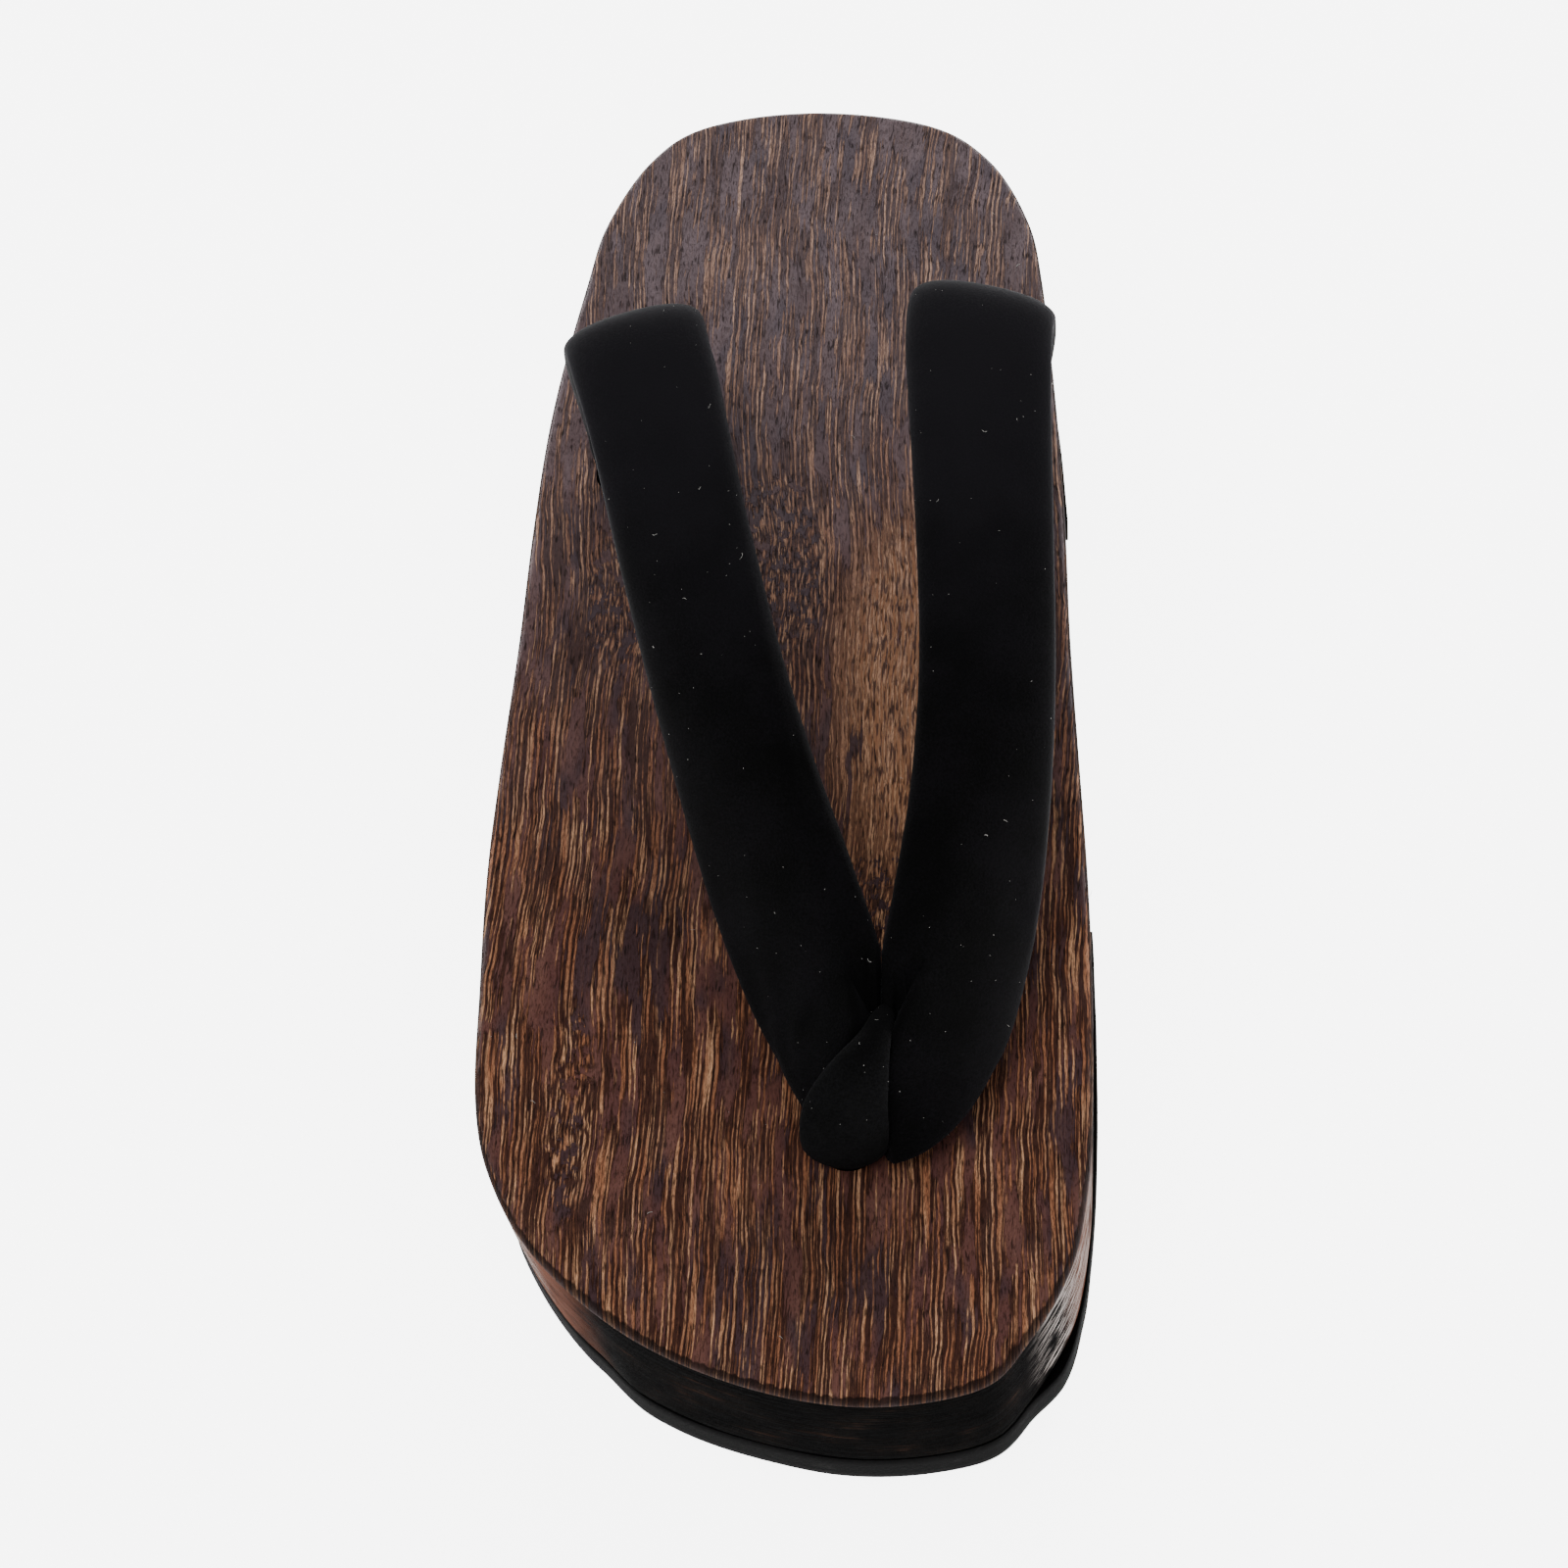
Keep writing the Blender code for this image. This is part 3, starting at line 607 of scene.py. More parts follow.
def makeCharredWall():
    # the same wood, charred black: dull soot on the front of the toe, browner patches at its two
    # corners, and round the sides short grey streaks along the grain, a painted reflection,
    # thickest at the toe's corners
    look = wallLook
    material, tree, shader = newMaterial("charredPaulowniaWall")
    place = addNode(tree, "ShaderNodeTexCoord").outputs["Object"]
    mm = addNode(tree, "ShaderNodeVectorMath", (place, 1000), operation="SCALE")
    back = addNode(tree, "ShaderNodeSeparateXYZ", (mm,)).outputs["Y"]
    rim = addNode(tree, "ShaderNodeAttribute", attribute_name="rim").outputs["Fac"]

    # soot, char and brown, browner away from the toe
    line = stretched(tree, mm, look["line"], 3.0, 0.65)
    blotch = addNode(tree, "ShaderNodeTexNoise", {"Vector": mm, "Scale": look["blotches"],
                                                  "Detail": 3.0})
    browner = addNode(tree, "ShaderNodeMapRange", (back, *look["browner"]))
    mixed = addNode(tree, "ShaderNodeMath", (blotch, look["blotchShare"], line),
                    operation="MULTIPLY_ADD")
    mixed = addNode(tree, "ShaderNodeMath", (mixed, browner), operation="ADD")
    colours = [look[name] for name in ("soot", "char", "brown")]
    colour = addNode(tree, "ShaderNodeValToRGB", (mixed,), list(zip(look["tones"], colours)))
    # browner patches at the toe's two corners
    cornerBrown = addNode(tree, "ShaderNodeMapRange", (mixed, *look["cornerBrownFrom"]),
                    interpolation_type="SMOOTHSTEP")
    cornerBrown = addNode(tree, "ShaderNodeMath", (ovals(tree, mm, look["cornerBrownAt"], 0.7), cornerBrown),
                    operation="MULTIPLY")
    colour = addNode(tree, "ShaderNodeMix", (cornerBrown, colour, look["cornerBrown"]), data_type="RGBA")

    # painted reflection as grey streaks: thick at the corners of the toe, hardly any elsewhere, and
    # none on the front
    paintedGlint = stretched(tree, mm, look["glintStreak"], 3.0, 0.65, look["glintStreakFrom"])
    blotchy = addNode(tree, "ShaderNodeMapRange", (blotch, *look["blotchFrom"]),
                      interpolation_type="SMOOTHSTEP")
    paintedGlint = addNode(tree, "ShaderNodeMath", (paintedGlint, blotchy), operation="MULTIPLY")
    sparse = addNode(tree, "ShaderNodeMapRange", (back, *look["glintBehindFrom"]),
                     interpolation_type="SMOOTHSTEP")
    sparse = addNode(tree, "ShaderNodeMath", (sparse, look["glintElsewhere"]), operation="MULTIPLY")
    placed = addNode(tree, "ShaderNodeMath", (sparse, ovals(tree, mm, look["glintAt"], 0.6)),
                     operation="MAXIMUM")
    above = addNode(tree, "ShaderNodeMapRange", (rim, *look["glintAboveFrom"]),
                    interpolation_type="SMOOTHSTEP")
    for mask in (placed, above):
        paintedGlint = addNode(tree, "ShaderNodeMath", (paintedGlint, mask), operation="MULTIPLY")
    colour = coats(tree, colour, [(paintedGlint, look["glintCover"], look["paintedGlint"])])
    rough = addNode(tree, "ShaderNodeMapRange", (line, *look["roughness"]))
    bump = addNode(tree, "ShaderNodeBump", {"Height": line, "Strength": 1.0,
                                            "Distance": look["relief"]})
    fillIn(tree, shader, {"Base Color": colour, "Roughness": rough, "Normal": bump,
                          "Specular IOR Level": 0.001})
    return material


wood, wall = makeScorchedTop(), makeCharredWall()
blockPiece = makeBlock(wood)
blockPiece.data.materials.append(wall)
rimValues = blockPiece.data.attributes["rim"].data
for face in blockPiece.data.polygons:
    if min(rimValues[i].value for i in face.vertices) < -0.45:
        face.material_index = 1
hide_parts("platform")
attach(blockPiece, "root")
print("wood made:", len(blockPiece.data.polygons), "faces")


padLook = {
    "edge": 0.0007, "acrossSteps": 24, "trimWave": 0.00018,
    "black": "#080808", "dust": "#1d1c1c", "dustFrom": (0.58, 0.82),
    "cells": 1900.0, "dustSpots": 260.0,   # per m
    "relief": 0.00015,
}


def makeSpongeRubber():
    # black EVA sponge rubber, knife-cut: dull, with a fine even grain and a little grey dust
    look = padLook
    material, tree, shader = newMaterial("knifeCutSpongeRubber")
    place = addNode(tree, "ShaderNodeTexCoord").outputs["Object"]
    cells = addNode(tree, "ShaderNodeTexNoise", {"Vector": place, "Scale": look["cells"],
                                                 "Detail": 2.0})
    dust = addNode(tree, "ShaderNodeTexNoise", {"Vector": place, "Scale": look["dustSpots"],
                                                "Detail": 4.0, "Roughness": 0.7})
    dusty = addNode(tree, "ShaderNodeMapRange", (dust, *look["dustFrom"], 0.0, 0.5))
    colour = addNode(tree, "ShaderNodeMix", (dusty, look["black"], look["dust"]), data_type="RGBA")
    bump = addNode(tree, "ShaderNodeBump", {"Height": cells, "Strength": 0.6,
                                            "Distance": look["relief"]})
    fillIn(tree, shader, {"Base Color": colour, "Normal": bump, "Roughness": 0.85,
                          "Specular IOR Level": 0.01})
    return material


def makePad(name, heel, material):
    outline = soleOutline()
    away = outwards(outline)
    half = len(outline) // 2
    edge = []
    for i, (p, n) in enumerate(zip(outline, away)):
        wave = padLook["trimWave"] * bumpy((p.x, p.y, 0), 0.013, 2)
        edge.append(p + n * (trimAt(p.y, i <= half) + wave))
    cut = halfLength - block["heelPadLength"] if heel else block["frontPadLength"] - halfLength
    side = 1 if heel else -1
    if heel:
        edge = edge[half:] + edge[:half]
    there, back = edge[1:half + 1], edge[:half - 1:-1]
    pairs = [pair for pair in zip(there, back) if min(side * (p.y - cut) for p in pair) > 0.0004]
    ends = []
    for run in (there, back):
        for a, b in zip(run, run[1:]):
            if (a.y - cut) * (b.y - cut) <= 0:
                ends.append(a.lerp(b, (cut - a.y) / (b.y - a.y)))
                break
    # the straight cut, with points across it
    steps = padLook["acrossSteps"]
    row = [ends[0].lerp(ends[1], j / steps) for j in range(steps + 1)]
    ring = [edge[0]] + [p for p, q in pairs] + row + [q for p, q in reversed(pairs)]
    away = outwards(ring)
    r = padLook["edge"]
    profile = [(r, 0), (r * 0.3, r * 0.3), (0, r)]
    rings = [[(p.x - n.x * inset, p.y - n.y * inset, padTopAt(p.y) - drop)
              for p, n in zip(ring, away)] for inset, drop in profile]
    for t in (0.25, 0.5, 0.75):
        rings.append([(p.x, p.y, (padTopAt(p.y) - r) * (1 - t) + (padBottomAt(p.y) + r) * t)
                      for p in ring])
    rings += [[(p.x - n.x * inset, p.y - n.y * inset, padBottomAt(p.y) + rise)
               for p, n in zip(ring, away)] for inset, rise in reversed(profile)]
    bm = bmesh.new()
    made = [[bm.verts.new(p) for p in points] for points in rings]
    total = len(ring)
    for low, high in zip(made, made[1:]):
        for i in range(total):
            bm.faces.new((low[i - 1], low[i], high[i], high[i - 1]))
    last = len(pairs)
    for points in (made[0], made[-1]):
        bm.faces.new((points[0], points[1], points[-1]))
        for k in range(1, last):
            bm.faces.new((points[k], points[k + 1], points[-k - 1], points[-k]))
        bm.faces.new(points[last:total - last + 1])
    piece = finishObject(bm, name, material, 38)
    if not heel:
        # the window for the front knot
        along, across = holes["front"]
        boredOut(piece, [(across * halfWidth, yAt(along), recessRadius, -0.015, 0.025)], material)
        piece.data.set_sharp_from_angle(angle=math.radians(38))
    return piece


rubber = makeSpongeRubber()
for name, node, heel in (("toePad", "front_sole_pad", False), ("heelPad", "heel_sole_pad", True)):
    pad = makePad(name, heel, rubber)
    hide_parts(node)
    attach(pad, "root")
print("pads made")


strap = {
    "rise": 0.040, "width": 0.0265, "thickness": 0.0092, "steps": 12, "sides": 64,
    "squareness": 2.4, "tailShows": 0.0017,
    "pressure": 4.0, "frames": 20, "mostSwell": 0.0006, "heldUnder": 0.0042,
}
# along, across, rise, width, thick, roll, yaw
outerRows = [
    (0.1680, 0.225, 0.150, 0.30, 0.62, 10, 0), (0.1790, 0.216, 0.205, 0.44, 0.80, 34, 0),
    (0.2060, 0.190, 0.285, 0.72, 0.94, 37, 0), (0.2500, 0.147, 0.360, 1.01, 1.00, 33, 0),
    (0.3090, 0.036, 0.455, 1.06, 1.00, 28, 0), (0.3780, -0.088, 0.590, 0.99, 1.00, 20, 0),
    (0.4550, -0.210, 0.740, 0.95, 1.00, 14, 0), (0.5380, -0.325, 0.885, 0.94, 1.00, 8, 6),
    (0.6150, -0.425, 0.990, 0.95, 1.00, 4, 12), (0.6650, -0.492, 1.010, 0.98, 1.00, 2, 17),
    (0.6970, -0.535, 0.925, 0.99, 1.00, 0, 19), (0.7080, -0.570, 0.700, 0.93, 1.00, 0, 19),
    (0.7060, -0.605, 0.430, 0.74, 1.00, 0, 16), (0.6900, -0.634, 0.180, 0.48, 1.00, 0, 10),
]
innerRows = [
    (0.1740, 0.235, 0.090, 0.30, 0.60, 0, -30), (0.1765, 0.300, 0.120, 0.54, 0.72, -10, -34),
    (0.1835, 0.374, 0.180, 0.70, 0.84, -18, -25), (0.1970, 0.432, 0.245, 0.85, 0.92, -27, -12),
    (0.2200, 0.490, 0.310, 0.97, 0.97, -33, -2),
    (0.2500, 0.541, 0.362, 1.035, 1.00, -33, 0), (0.3090, 0.600, 0.455, 1.03, 1.00, -28, 0),
    (0.3780, 0.644, 0.590, 0.96, 1.00, -20, 0),
    (0.4550, 0.662, 0.750, 0.92, 1.00, -12, 0), (0.5450, 0.650, 0.905, 0.93, 1.00, -6, -4),
    (0.6270, 0.633, 1.010, 0.97, 1.00, -2, -9), (0.6790, 0.625, 1.030, 1.01, 1.00, 0, -13),
    (0.7130, 0.632, 0.945, 1.02, 1.00, 0, -15), (0.7240, 0.650, 0.710, 0.95, 1.00, 0, -15),
    (0.7200, 0.670, 0.430, 0.75, 1.00, 0, -12), (0.7030, 0.685, 0.180, 0.48, 1.00, 0, -8),
]
loop = {
    "width": 0.0135, "thickness": 0.0040, "steps": 10, "sides": 32, "tailShows": 0.0032,
    "squareness": 1.75, "pressedBy": 0.0003, "closesUp": 2.0,
    "pile": "#050505", "bare": "#0d0d0e", "sheen": 0.03,
}
# along, across, rise, lift, width, thick
loopRows = [
    (0.1690, 0.240, -0.06, 0.3, 0.76, 1.30), (0.1635, 0.232, 0.04, 0.3, 1.02, 1.50),
    (0.1640, 0.230, 0.16, 0.2, 1.12, 1.45), (0.1730, 0.240, 0.29, 0.2, 1.08, 1.30),
    (0.1890, 0.280, 0.400, 0.2, 0.80, 1.15), (0.2090, 0.324, 0.440, 0.3, 0.46, 1.00),
    (0.2290, 0.350, 0.400, 0.3, 0.30, 0.95), (0.2440, 0.362, 0.25, 0.2, 0.28, 0.90),
    (0.2430, 0.350, 0.09, 0.3, 0.34, 0.75), (0.2180, 0.305, 0.00, 0.7, 0.46, 0.68),
    (0.1860, 0.250, 0.00, 0.7, 0.50, 0.68),
]


def bandFrames(rows):
    # middle, run, across and up of each section
    middles = [Vector(row[:3]) for row in rows]
    frames = []
    for i, row in enumerate(rows):
        run = (middles[min(i + 1, len(rows) - 1)] - middles[max(i - 1, 0)]).normalized()
        roll, yaw = math.radians(row[5]), math.radians(row[6])
        across = Vector((math.cos(yaw), math.sin(yaw), 0)) * math.cos(roll)
        across += Vector((0, 0, math.sin(roll)))
        across = (across - run * across.dot(run)).normalized()
        frames.append((middles[i], run, across, run.cross(across)))
    return frames


def sectionPoint(angle, width, thickness, squareness):
    x, y = math.cos(angle), math.sin(angle)
    return (math.copysign(abs(x) ** (2 / squareness), x) * width / 2,
            math.copysign(abs(y) ** (2 / squareness), y) * thickness / 2)


def bandMesh(bm, rows, sides, squareness, roundStart):
    # a padded band, its start rounded off and its end closed
    rings = []
    for row, (middle, _, across, up) in zip(rows, bandFrames(rows)):
        ring = []
        for k in range(sides):
            a, b = sectionPoint(2 * math.pi * k / sides, row[3], row[4], squareness)
            ring.append(middle + across * a + up * b)
        rings.append(ring)
    middle, run = bandFrames(rows)[0][:2]
    reach = roundStart * rows[0][4] / 2
    heads = []
    for t in (0.97, 0.86, 0.66, 0.38):
        share = math.sqrt(1 - t * t)
        heads.append([middle + (p - middle) * share - run * reach * t for p in rings[0]])
    made = [[bm.verts.new(p) for p in ring] for ring in heads + rings]
    for low, high in zip(made, made[1:]):
        for k in range(sides):
            bm.faces.new((low[k - 1], low[k], high[k], high[k - 1]))
    bm.faces.new(made[0])
    bm.faces.new(made[-1])


def armRows(table, hole):
    rows = []
    for along, across, rise, width, thick, roll, yaw in table:
        y = yAt(along)
        rows.append((across * halfWidth, y, topAt(y) + rise * strap["rise"], width * strap["width"],
                     thick * strap["thickness"], roll, yaw))
    rows = smoothRows(rows, strap["steps"])
    along, across = holes[hole]
    x, y = across * halfWidth, yAt(along)
    size = 2 * (holeRadius - 0.0003) * 2 ** (1 / strap["squareness"] - 1 / 2)
    last = rows[-1]
    mouth = (x, y, topAt(y) + strap["tailShows"], size, size, 0, 0)
    deep = (x, y, woodBottomAt(y) + recessDepth, size, size, 0, 0)
    for t in (0.33, 0.67, 1.0):
        rows.append([a + (b - a) * t for a, b in zip(last, mouth)])
    for t in (0.15, 0.4, 0.7, 1.0):
        rows.append([a + (b - a) * t for a, b in zip(mouth, deep)])
    return rows


def loopBand():
    rows = []
    for along, across, rise, lift, width, thick in loopRows:
        y = yAt(along)
        z = topAt(y) + rise * strap["rise"] + lift * loop["thickness"]
        rows.append((across * halfWidth, y, z, width * loop["width"],
                     thick * loop["thickness"], 0, 0))
    return smoothRows(rows, loop["steps"])


def pressIn(points, rows):
    # where the loop crosses, the padding gives way under it and closes up again beside it
    frames = bandFrames(rows)
    for vert in points:
        row, (middle, run, across, up) = min(
            zip(rows, frames), key=lambda pair: (vert.co - pair[1][0]).length_squared)
        offset = vert.co - middle
        side, inwards, half = abs(offset.dot(across)), offset.dot(up), row[3] / 2
        if offset.length > 0.012 or abs(offset.dot(run)) > 0.004 or side > half + 0.004:
            continue
        if side < half:
            power = loop["squareness"]
            floor = row[4] / 2 * (1 - (side / half) ** power) ** (1 / power) + loop["pressedBy"]
        else:
            floor = loop["pressedBy"] - (side - half) * loop["closesUp"]
        if -0.010 < inwards < floor:
            vert.co += up * (floor - inwards)


def swell(piece):
    # a cloth run: the wadding pushes the cover out, which is held near the wood and at the fold
    start = [vert.co.copy() for vert in piece.data.vertices]
    held = [vert.index for vert in piece.data.vertices
            if vert.co.z < topAt(vert.co.y) + strap["heldUnder"] or vert.co.y < yAt(0.20)]
    piece.vertex_groups.new(name="held").add(held, 1.0, "REPLACE")
    cloth = piece.modifiers.new("swell", "CLOTH")
    cloth.settings.quality = 5
    cloth.settings.use_pressure = True
    cloth.settings.uniform_pressure_force = strap["pressure"]
    cloth.settings.vertex_group_mass = "held"
    cloth.settings.effector_weights.gravity = 0
    cloth.collision_settings.use_collision = False
    for number in range(1, strap["frames"] + 1):
        bpy.context.scene.frame_set(number)
    plainMesh(piece)
    moved = []
    for vert, place in zip(piece.data.vertices, start):
        move = vert.co - place
        moved.append(move.length)
        if move.length > strap["mostSwell"]:
            vert.co = place + move.normalized() * strap["mostSwell"]
    piece.vertex_groups.clear()
    bpy.context.scene.frame_set(1)
    print("strap swelled, most before the cap in mm:", round(1000 * max(moved), 2))


# what the velvet looks like: sizes in m, colours as seen
velvetLook = {
    "pile": "#030303", "bare": "#09080a", "bareFrom": (0.16, 0.36), "sheen": 0.055,
    "sheenTint": "#8f8d94", "grain": 0.00045,
    "brushing": 75.0,                      # patches per m where the pile lies another way
    "crestHighlight": "#151417",                    # a painted highlight on top of the rear ends
    "crestHighlightFrom": (0.070, 0.092), "crestHighlightRagged": 0.006,  # and from what height
    "relief": 0.0002,
}


def makeVelvet(name, pile, bare, sheen):
    # cotton velvet, black: almost no shine, a faint bloom where the pile is seen side on, and a
    # painted highlight along the tops of the rear ends
    look = velvetLook
    material, tree, shader = newMaterial(name)
    place = addNode(tree, "ShaderNodeTexCoord").outputs["Object"]
    tufts = addNode(tree, "ShaderNodeTexNoise", {"Vector": place, "Scale": 1 / look["grain"],
                                                 "Detail": 2.0, "Roughness": 0.6})
    brushed = addNode(tree, "ShaderNodeTexNoise", {"Vector": place, "Scale": look["brushing"],
                                                   "Detail": 3.0})
    patchy = addNode(tree, "ShaderNodeMath", (tufts, brushed), operation="MULTIPLY")
    share = addNode(tree, "ShaderNodeMapRange", (patchy, *look["bareFrom"]))
    colour = addNode(tree, "ShaderNodeMix", (share, pile, bare), data_type="RGBA")
    # the highest parts, the tops of the rear ends, turn to a lighter colour: a painted highlight
    high = addNode(tree, "ShaderNodeSeparateXYZ", (place,)).outputs["Z"]
    worn = addNode(tree, "ShaderNodeMath", (brushed, look["crestHighlightRagged"], high),
                   operation="MULTIPLY_ADD")
    worn = addNode(tree, "ShaderNodeMapRange", (worn, *look["crestHighlightFrom"]),
                   interpolation_type="SMOOTHSTEP")
    colour = addNode(tree, "ShaderNodeMix", (worn, colour, look["crestHighlight"]), data_type="RGBA")
    bump = addNode(tree, "ShaderNodeBump", {"Height": tufts, "Strength": 0.5,
                                            "Distance": look["relief"]})
    fillIn(tree, shader, {
        "Base Color": colour, "Normal": bump, "Roughness": 0.95, "Specular IOR Level": 0.05,
        "Sheen Weight": sheen, "Sheen Roughness": 0.45, "Sheen Tint": look["sheenTint"]})
    return material


velvet = makeVelvet("blackCottonVelvet", velvetLook["pile"], velvetLook["bare"],
                    velvetLook["sheen"])
bandRows = loopBand()
bm = bmesh.new()
for table, hole in ((outerRows, "outer"), (innerRows, "inner")):
    bandMesh(bm, armRows(table, hole), strap["sides"], strap["squareness"], 1.0)
thong = finishObject(bm, "velvetThong", velvet, 80)
swell(thong)
pressIn([v for v in thong.data.vertices if v.co.y < yAt(0.30)], bandRows)
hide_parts("thong_straps")
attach(thong, "root")
print("thong made:", len(thong.data.polygons), "faces")

loopVelvet = makeVelvet("fuzzyLoopVelvet", loop["pile"], loop["bare"], loop["sheen"])
bm = bmesh.new()
bandMesh(bm, bandRows, loop["sides"], loop["squareness"], 0.4)
along, across = holes["front"]
x, y = across * halfWidth, yAt(along)
mouth, deep = topAt(y) + loop["tailShows"], woodBottomAt(y) + recessDepth
size = 2 * (holeRadius - 0.0004)
tailRows = [(x, y, mouth + (deep - mouth) * t, size, size, 0, 0)
            for t in (0, 0.15, 0.4, 0.7, 1.0)]
bandMesh(bm, tailRows, loop["sides"], 2.0, 0.5)
loopPiece = finishObject(bm, "velvetLoop", loopVelvet, 80)
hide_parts("front_loop")
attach(loopPiece, "root")
print("loop made")


# cord, thread and lint, in m
trim = {
    "cord": 0.0016, "strands": 3, "pitch": 0.0058, "knotAcross": 0.0037, "knotTurn": 0.0020,
    "knotHigh": 0.0018, "knotBelow": 0.0042, "knotSteps": 96, "knotFrom": 20, "knotSweep": 700,
    "cordBlack": "#0b0b0c", "cordPale": "#1a1a1b", "cordTips": 0.0003,
    "stitch": 0.0021, "stitchGap": 0.0011, "thread": 0.00016, "seamEnds": (6, 4),
    "threadColour": "#141415", "threadTips": 0.0002,
    "specks": 12000, "speckSize": 0.000075, "fibres": 2400, "woodFibres": 1700,
    "fibreReach": 0.0011, "fibreThick": 0.00004, "lintColour": "#b3b1ac",
    "lintUpward": 0.35,                    # it lies where a face looks up at least this much
}


def newTree(name, sockets):
    # an empty Geometry Nodes tree with a geometry in and out, and the named inputs
    tree = bpy.data.node_groups.new(name, "GeometryNodeTree")
    tree.interface.new_socket("Geometry", in_out="INPUT", socket_type="NodeSocketGeometry")
    for label, kind in sockets.items():
        tree.interface.new_socket(label, in_out="INPUT", socket_type="NodeSocket" + kind)
    tree.interface.new_socket("Geometry", in_out="OUTPUT", socket_type="NodeSocketGeometry")
    return tree, addNode(tree, "NodeGroupInput").outputs


def endTree(tree, made, material):
    # every tree ends in one real mesh with its material
    real = addNode(tree, "GeometryNodeRealizeInstances", {"Geometry": made})
    painted = addNode(tree, "GeometryNodeSetMaterial", {"Geometry": real, "Material": material})
    addNode(tree, "NodeGroupOutput", {"Geometry": painted})


def runTree(carrier, tree, values):
    modifier = carrier.modifiers.new(tree.name, "NODES")
    modifier.node_group = tree
    for item in tree.interface.items_tree:
        if item.in_out == "INPUT" and item.name in values:
            modifier[item.identifier] = values[item.name]
    made = plainMesh(carrier)
    made.data.shade_smooth()
    return made


def pathObject(name, runs):
    # open curves through points, as a carrier for a tree
    data = bpy.data.curves.new(name, "CURVE")
    data.dimensions = "3D"
    for points in runs:
        spline = data.splines.new("POLY")
        spline.points.add(len(points) - 1)
        for spot, p in zip(spline.points, points):
            spot.co = (*p, 1)
    piece = bpy.data.objects.new(name, data)
    bpy.context.scene.collection.objects.link(piece)
    return piece


def makeCottonTwist(name, dark, pale, size):
    # twisted cotton, matt, with pale fibre tips
    material, tree, shader = newMaterial(name)
    place = addNode(tree, "ShaderNodeTexCoord").outputs["Object"]
    tips = addNode(tree, "ShaderNodeTexNoise", {"Vector": place, "Scale": 1 / size, "Detail": 2.0})
    share = addNode(tree, "ShaderNodeMapRange", (tips, 0.45, 0.75), interpolation_type="SMOOTHSTEP")
    colour = addNode(tree, "ShaderNodeMix", (share, dark, pale), data_type="RGBA")
    bump = addNode(tree, "ShaderNodeBump", {"Height": tips, "Distance": 0.0001})
    fillIn(tree, shader, {"Base Color": colour, "Normal": bump, "Roughness": 0.9,
                          "Specular IOR Level": 0.12})
    return material


def makeCordTree(material):
    # a cord of twisted strands along a curve
    tree, given = newTree("twistedCord", {"Cord Radius": "Float", "Strands": "Int",
                                          "Pitch": "Float"})
    along = addNode(tree, "GeometryNodeResampleCurve", {"Curve": given["Geometry"],
                                                        "Length": 0.0003}, mode="LENGTH")
    travelled = addNode(tree, "GeometryNodeSplineParameter").outputs["Length"]
    turns = addNode(tree, "ShaderNodeMath", (travelled, given["Pitch"]), operation="DIVIDE")
    turns = addNode(tree, "ShaderNodeMath", (turns, 2 * math.pi), operation="MULTIPLY")
    twisted = addNode(tree, "GeometryNodeSetCurveTilt", {"Curve": along, "Tilt": turns})
    # the section: as many round lobes as strands
    ring = addNode(tree, "GeometryNodeCurvePrimitiveCircle", {"Resolution": 30,
                                                              "Radius": given["Cord Radius"]})
    lobes = addNode(tree, "GeometryNodeSplineParameter").outputs["Factor"]
    for operation, values in (("MULTIPLY", [math.pi]), ("MULTIPLY", [given["Strands"]]),
                              ("COSINE", []), ("ABSOLUTE", []), ("MULTIPLY_ADD", [0.28, 0.72])):
        lobes = addNode(tree, "ShaderNodeMath", [lobes] + values, operation=operation)
    spot = addNode(tree, "GeometryNodeInputPosition")
    shrunk = addNode(tree, "ShaderNodeVectorMath", (spot, lobes), operation="SCALE")
    ring = addNode(tree, "GeometryNodeSetPosition", {"Geometry": ring, "Position": shrunk})
    swept = addNode(tree, "GeometryNodeCurveToMesh", {"Curve": twisted, "Profile Curve": ring,
                                                      "Fill Caps": True})
    endTree(tree, swept, material)
    return tree


def knotPath(along, across):
    # an overhand knot, lying in the recess under the hole
    x, y = across * halfWidth, yAt(along)
    z = woodBottomAt(y) + recessDepth - trim["knotBelow"]
    points = []
    for i in range(trim["knotSteps"] + 1):
        t = math.radians(trim["knotFrom"] + trim["knotSweep"] * i / trim["knotSteps"])
        wide = trim["knotAcross"] + trim["knotTurn"] * math.cos(1.5 * t)
        points.append((x + wide * math.cos(t), y + wide * math.sin(t),
                       z + trim["knotHigh"] * math.sin(1.5 * t)))
    return points


cordTree = makeCordTree(makeCottonTwist("twistedCottonCord", trim["cordBlack"], trim["cordPale"],
                                        trim["cordTips"]))
for hole, (along, across) in holes.items():
    knot = runTree(pathObject(hole + "Knot", [knotPath(along, across)]), cordTree,
                   {"Cord Radius": trim["cord"], "Strands": trim["strands"],
                    "Pitch": trim["pitch"]})
    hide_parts(hole + "_cord_knot")
    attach(knot, "root")
print("knots made")


